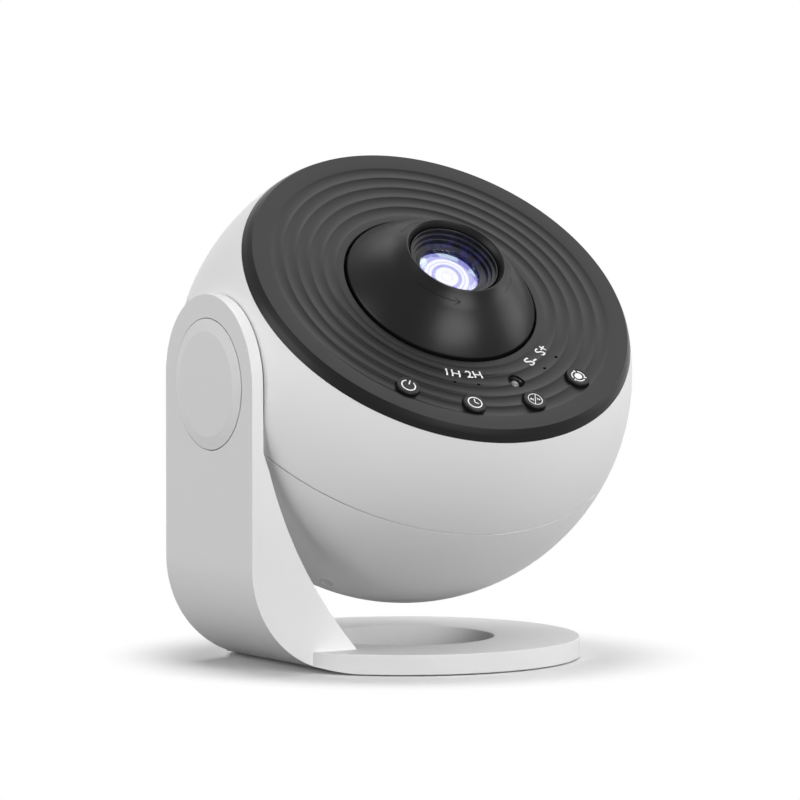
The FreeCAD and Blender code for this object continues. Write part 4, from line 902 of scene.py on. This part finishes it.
def make_labels():
    """Plain hour and speed marks printed beside the pilot lamps, following the ripples."""
    for name, text, width, height, radius, angle in LABELS:
        bm = flat_text(text, width, height)
        for v in bm.verts:
            flat = radius - v.co.y
            laid = flat
            for _ in range(LAYING_ROUNDS):
                laid = flat - DIP_SHIFT * (PLATE_TOP - plate_height(laid))
            v.co.y = radius - laid
            v.co.z = plate_height(laid) + (INK_PROUD if v.co.z > 0 else -INK_SUNK)
        turn(bm, angle + 90)
        shift(bm, *polar(radius, angle))
        piece(bm, "label_" + name, MARK, "head")


# ---------------------------------------------------------------- buttons
ICON_RADIUS = 2.2
ICON_THICK = 0.04


def stroke(points, width):
    """Line of straight strips through points, drawn with the icon's top along +Y."""
    parts = []
    for (x1, y1), (x2, y2) in zip(points, points[1:]):
        strip = slab((0, -width / 2, 0), (math.hypot(x2 - x1, y2 - y1), width / 2, ICON_THICK))
        turn(strip, math.degrees(math.atan2(y2 - y1, x2 - x1)))
        shift(strip, x1, y1)
        parts.append(strip)
    return parts


def ring(inner, outer=ICON_RADIUS, start=0.0, sweep=360.0):
    return band(inner, outer, 0, ICON_THICK, start, sweep)


def icon_power():
    return [ring(1.82, start=122, sweep=296)] + stroke([(0, 0.45), (0, ICON_RADIUS)], 0.36)


def icon_timer():
    return [ring(1.84)] + stroke([(0, 1.45), (0, 0), (1.1, -0.35)], 0.32)


def icon_colour():
    left = [(-1.55, 0.35), (-0.95, 0.75), (-1.2, 0.1), (-0.55, 0.35), (-0.9, -0.35)]
    right = [(-x, -y) for x, y in left]
    lines = [stroke(line, 0.2) for line in ([polar(2.0, -125), polar(2.0, 55)], left, right)]
    return [ring(1.98)] + sum(lines, [])


def icon_light():
    parts = [rod(1.15, 0, ICON_THICK, segments=32)]
    for start in (50, 170, 290):
        parts.append(ring(1.75, 2.1, start + 10, 100))
        parts += stroke([polar(1.6, start + 8), polar(2.45, start + 14)], 0.36)
    return parts


ICONS = {"power": icon_power, "timer": icon_timer, "colour": icon_colour, "light": icon_light}


def make_buttons():
    top = BUTTON_TOP
    for name, angle in BUTTONS:
        x, y = polar(BUTTON_RING, angle)
        cap = lathe([
            (0, 27.2), (1.5, 27.2), (1.5, 29.0), (4.2, 29.0), (4.2, 29.9), (BUTTON_RADIUS, 29.9),
            (BUTTON_RADIUS, top - 0.3), (3.2, top - 0.02), (2.9, top), (2.75, top - 0.04),
            (0, top - 0.04),
        ], 64, closed=False)
        soften(cap, 0.06, 30)
        shift(cap, x, y)
        piece(
            cap, name + "_cap", BLACK_BUTTON, name + "_button", ["button_" + name],
            weighted=True,
        )
        for i, part in enumerate(ICONS[name]()):
            shift(part, z=top - 0.05)
            turn(part, angle + 90)
            shift(part, x, y)
            piece(part, f"{name}_mark_{i}", MARK, name + "_button")


def make_remote_eye():
    """Dark window down in its hole, with a small grey lens in the middle."""
    flange = PLATE_UNDER - 0.02
    window = lathe([
        (0, 29.3), (3.2, 29.3), (3.2, flange), (2.42, flange), (2.42, 31.7), (2.2, 31.75),
        (1.8, 31.0), (1.7, 30.6), (0, 30.6),
    ], 48, closed=False)
    dome = [(0, 30.5), (1.15, 30.5), (1.15, 31.35)]
    dome += arc_points((1.15, 31.35), (0.65, 31.7), (0, 31.8), 8)
    lens = lathe(dome, 40, closed=False)
    for bm in (window, lens):
        shift(bm, *polar(PILOT_RING, EYE_ANGLE))
    piece(window, "eye_window", EYE, "head", ["remote_eye_window"])
    piece(lens, "eye_lens", EYE_LENS, "head")


# ---------------------------------------------------------------- lens unit
def bowed(a, b, bow):
    """Middle of an arc between two profile points that stands out by the bow."""
    run, rise = b[0] - a[0], b[1] - a[1]
    share = bow / math.hypot(run, rise)
    return (a[0] + b[0]) / 2 + share * rise, (a[1] + b[1]) / 2 - share * run


def cone_profile():
    """Outer flank from the foot up to the rim: bulging, then hollow."""
    low = arc_points(CONE_FOOT, bowed(CONE_FOOT, CONE_WAIST, CONE_BULGE), CONE_WAIST, 26)
    high = arc_points(CONE_WAIST, bowed(CONE_WAIST, CONE_TOP, CONE_HOLLOW), CONE_TOP, 14)
    return [CONE_FOOT] + low + high


def make_focus_cone():
    """Cone with its lip, a skirt below the plate and a bore for the barrel."""
    profile = [(26.7, CONE_SKIRT), (CONE_FOOT[0], CONE_SKIRT)] + cone_profile()
    profile += [(14.75, 46.47), (14.45, 46.5), (14.3, 46.35), (13.4, 44.75), (13.35, 44.5)]
    profile += [(13.35, 37.2), (CONE_BORE, 37.2), (CONE_BORE, 29.98), (15.15, 29.98)]
    profile += [(15.15, 43.4), (26.7, 31.8)]
    cone = lathe(profile, 256)
    soften(cone, 0.12, 32)
    cone = carved(cone, [joined(arrow_cutters())], crossing=True)
    piece(cone, "focusing_cone", BLACK_CONE, "focus_ring", ["focus_cone"], sharp=40)


def flank_at(radius):
    """Height of the cone's outer face at a radius."""
    points = cone_profile()
    for (r1, z1), (r2, z2) in zip(points, points[1:]):
        if r2 <= radius <= r1:
            return z1 + (z2 - z1) * (r1 - radius) / (r1 - r2)
    return points[-1][1]


def arrow_cutters():
    """Thin grooves of the turning arrows: an arc and two barbs each."""
    cutters = []
    height = flank_at(ARROW_RING)
    for start, sweep in ARROWS:
        bm = bmesh.new()
        bmesh.ops.create_circle(bm, cap_ends=True, segments=10, radius=ARROW_GROOVE)
        turn(bm, 90, "X")
        shift(bm, ARROW_RING, 0, height)
        bmesh.ops.spin(
            bm, geom=list(bm.faces) + list(bm.edges) + list(bm.verts), cent=(0, 0, 0),
            axis=(0, 0, 1), angle=math.radians(sweep), steps=40, use_merge=False,
        )
        turn(bm, start)
        tidy(bm)
        cutters.append(bm)
        for lean in (-30, 30):
            barb = rod(ARROW_GROOVE, 0, 2.1, segments=10)
            turn(barb, 90, "X")
            turn(barb, lean)
            turn(barb, 43, "Y")
            shift(barb, ARROW_RING, 0, height)
            turn(barb, start + sweep)
            cutters.append(barb)
    return cutters


def make_barrel():
    """Barrel with stepped rings in front of the lens."""
    top = BARREL_TOP
    profile = [(11.6, BARREL_END), (11.6, top - 5.7), (13.0, top - 5.7), (13.0, top - 0.1)]
    profile.append((12.9, top))
    for i in range(BAFFLES):
        r, z = 12.65 - 0.85 * i, top - 1.2 * i
        profile += [(r + 0.1, z), (r, z - 0.1), (r - 0.15, z - 0.66), (r + 0.3, z - 0.72)]
        profile += [(r + 0.3, z - 1.05), (r - 0.3, z - 1.2)]
    profile += [(10.2, top - 3.6), (10.1, top - 3.7), (9.0, 40.62), (8.9, 40.5), (8.9, LENS_SEAT)]
    profile += [(9.85, LENS_SEAT), (9.85, BARREL_END)]
    barrel = lathe(profile, 192)
    soften(barrel, 0.05, 32)
    piece(
        barrel, "stepped_barrel", BLACK_BARREL_PAINTED_GLOW, "barrel", ["lens_barrel"], sharp=40,
    )


def make_lenses():
    """Front lens, and the lit field just behind its flat side."""
    rim = (8.85, LENS_SEAT)
    profile = [(0, LENS_BACK), (9.8, LENS_BACK), (9.8, LENS_SEAT), rim]
    profile += arc_points(rim, (4.46, 41.28), (0, 41.6), 16)
    front = lathe(profile, 128, closed=False)
    piece(front, "front_lens_glass", LENS, "barrel", ["front_lens"], sharp=40)
    low, high = LENS_BACK - 1.0, LENS_BACK - 0.8
    core = lathe([(0, low), (9.6, low), (9.6, high), (0, high)], 96, closed=False)
    piece(core, "lit_field", LIT, "barrel", sharp=40)


# ---------------------------------------------------------------- stand
def prism(points, low, high):
    """Solid with a side view in X and Z, between two Y places."""
    bm = bmesh.new()
    face = bm.faces.new([bm.verts.new((x, low, z)) for x, z in points])
    made = bmesh.ops.extrude_face_region(bm, geom=[face])
    moved = [v for v in made["geom"] if isinstance(v, bmesh.types.BMVert)]
    bmesh.ops.translate(bm, vec=(0, high - low, 0), verts=moved)
    bmesh.ops.recalc_face_normals(bm, faces=bm.faces)
    return bm


def bend_curve():
    corner = BEND * (1 - math.sqrt(0.5))
    start, end = (ARM_OUTER, BASE_LOW + BEND), (ARM_OUTER + BEND, BASE_LOW)
    return [start] + arc_points(start, (ARM_OUTER + corner, BASE_LOW + corner), end, 40)


def brace_curve():
    """Inner edge of the brace, sunk below a straight line from its toe up to the arm."""
    toe, high = (BRACE_TOE, BASE_TOP), (ARM_INNER, BRACE_TOP)
    run, drop = toe[0] - high[0], high[1] - toe[1]
    sink = BRACE_SINK / math.hypot(run, drop)
    middle = ((toe[0] + high[0]) / 2 - sink * drop, (toe[1] + high[1]) / 2 - sink * run)
    return [toe] + arc_points(toe, middle, high, 32)


def make_arm():
    """Arm, bend and brace: the side view cut to the arm's width and round end."""
    top = PIVOT_MM + ARM_BLANK
    side = [(ARM_OUTER, top)] + bend_curve() + [(BRACE_TOE, BASE_LOW)] + brace_curve()
    arm = prism(side + [(ARM_INNER, top)], -ARM_BLANK, ARM_BLANK)
    front = [polar(ARM_HALF, 180.0 * i / 64) for i in range(65)]
    foot = -PIVOT_MM - 5
    outline = prism([(-ARM_HALF, foot), (ARM_HALF, foot)] + front, -80, -20)
    turn(outline, -90)
    shift(outline, z=PIVOT_MM + ARM_CROWN)
    arm = carved(arm, [outline], "INTERSECT")
    low, far = BASE_LOW + 0.01, BRACE_TOE - 0.01
    long_edges = [
        e for e in arm.edges
        if len(e.link_faces) == 2 and e.calc_face_angle(0) > 1.0
        and min(v.co.z for v in e.verts) > low and max(v.co.x for v in e.verts) < far
    ]
    round_edges(arm, long_edges, 0.5, 3)
    return arm


def make_stand():
    """One moulding: ring base, side arm with its bend and brace, and the seats cut into them."""
    base = lathe([
        (BASE_HOLE, BASE_LOW), (BASE_RADIUS - 0.2, BASE_LOW), (BASE_RADIUS, BASE_LOW + 0.2),
        (BASE_RADIUS, BASE_TOP - 0.4), (BASE_RADIUS - 0.12, BASE_TOP - 0.12),
        (BASE_RADIUS - 0.4, BASE_TOP), (BASE_HOLE + 0.2, BASE_TOP), (BASE_HOLE, BASE_TOP - 0.2),
    ], 256)
    under = prism([(ARM_OUTER - 1, BASE_LOW + BEND)] + bend_curve() + [
        (ARM_OUTER + BEND, BASE_LOW - 1), (ARM_OUTER - 1, BASE_LOW - 1),
    ], -60, 60)
    stand = carved(make_arm(), [carved(base, [under])], "UNION")
    reach = BALL + BALL_ROOM
    room = ball_solid(reach, -reach, reach, -ARM_INNER, 192, 48)
    recess = rod(CAP_SEAT, ARM_OUTER - 1, ARM_OUTER + 2.0, segments=160)
    bore = rod(ARM_BORE, ARM_OUTER - 1, ARM_INNER + 1, segments=96)
    for cutter in (recess, bore):
        turn(cutter, 90, "Y")
    for cutter in (room, recess, bore):
        shift(cutter, z=PIVOT_MM)
    pad = band(*PAD_GROOVE, steps=96)
    stand = carved(stand, [room, recess, bore, pad])
    piece(stand, "stand_moulding", WHITE_STAND, "stand", ["stand"], MM, 24, True)


def make_arm_cap():
    """Shallow cap with a wide bevelled border, in the arm's outer face."""
    cap = lathe([
        (0, 61.5), (16.7, 61.5), (16.7, 62.4), (CAP_RADIUS, 62.4), (CAP_RADIUS, 63.6),
        (18.4, 63.7), (15.0, 64.45), (14.8, CAP_FACE), (0, CAP_FACE),
    ], 192, closed=False)
    turn(cap, 180, "Y")
    piece(cap, "arm_cap_cover", WHITE_STAND, "stand", ["arm_cap"], ARM, weighted=True)


# ---------------------------------------------------------------- build
dress_cad()
make_upper_shell()
make_lower_shell()
make_face_plate()
make_labels()
make_buttons()
make_remote_eye()
make_focus_cone()
make_barrel()
make_lenses()
make_stand()
make_arm_cap()
add_floor()
add_world()
add_panels()
add_camera()
bpy.context.scene.view_settings.view_transform = "Standard"
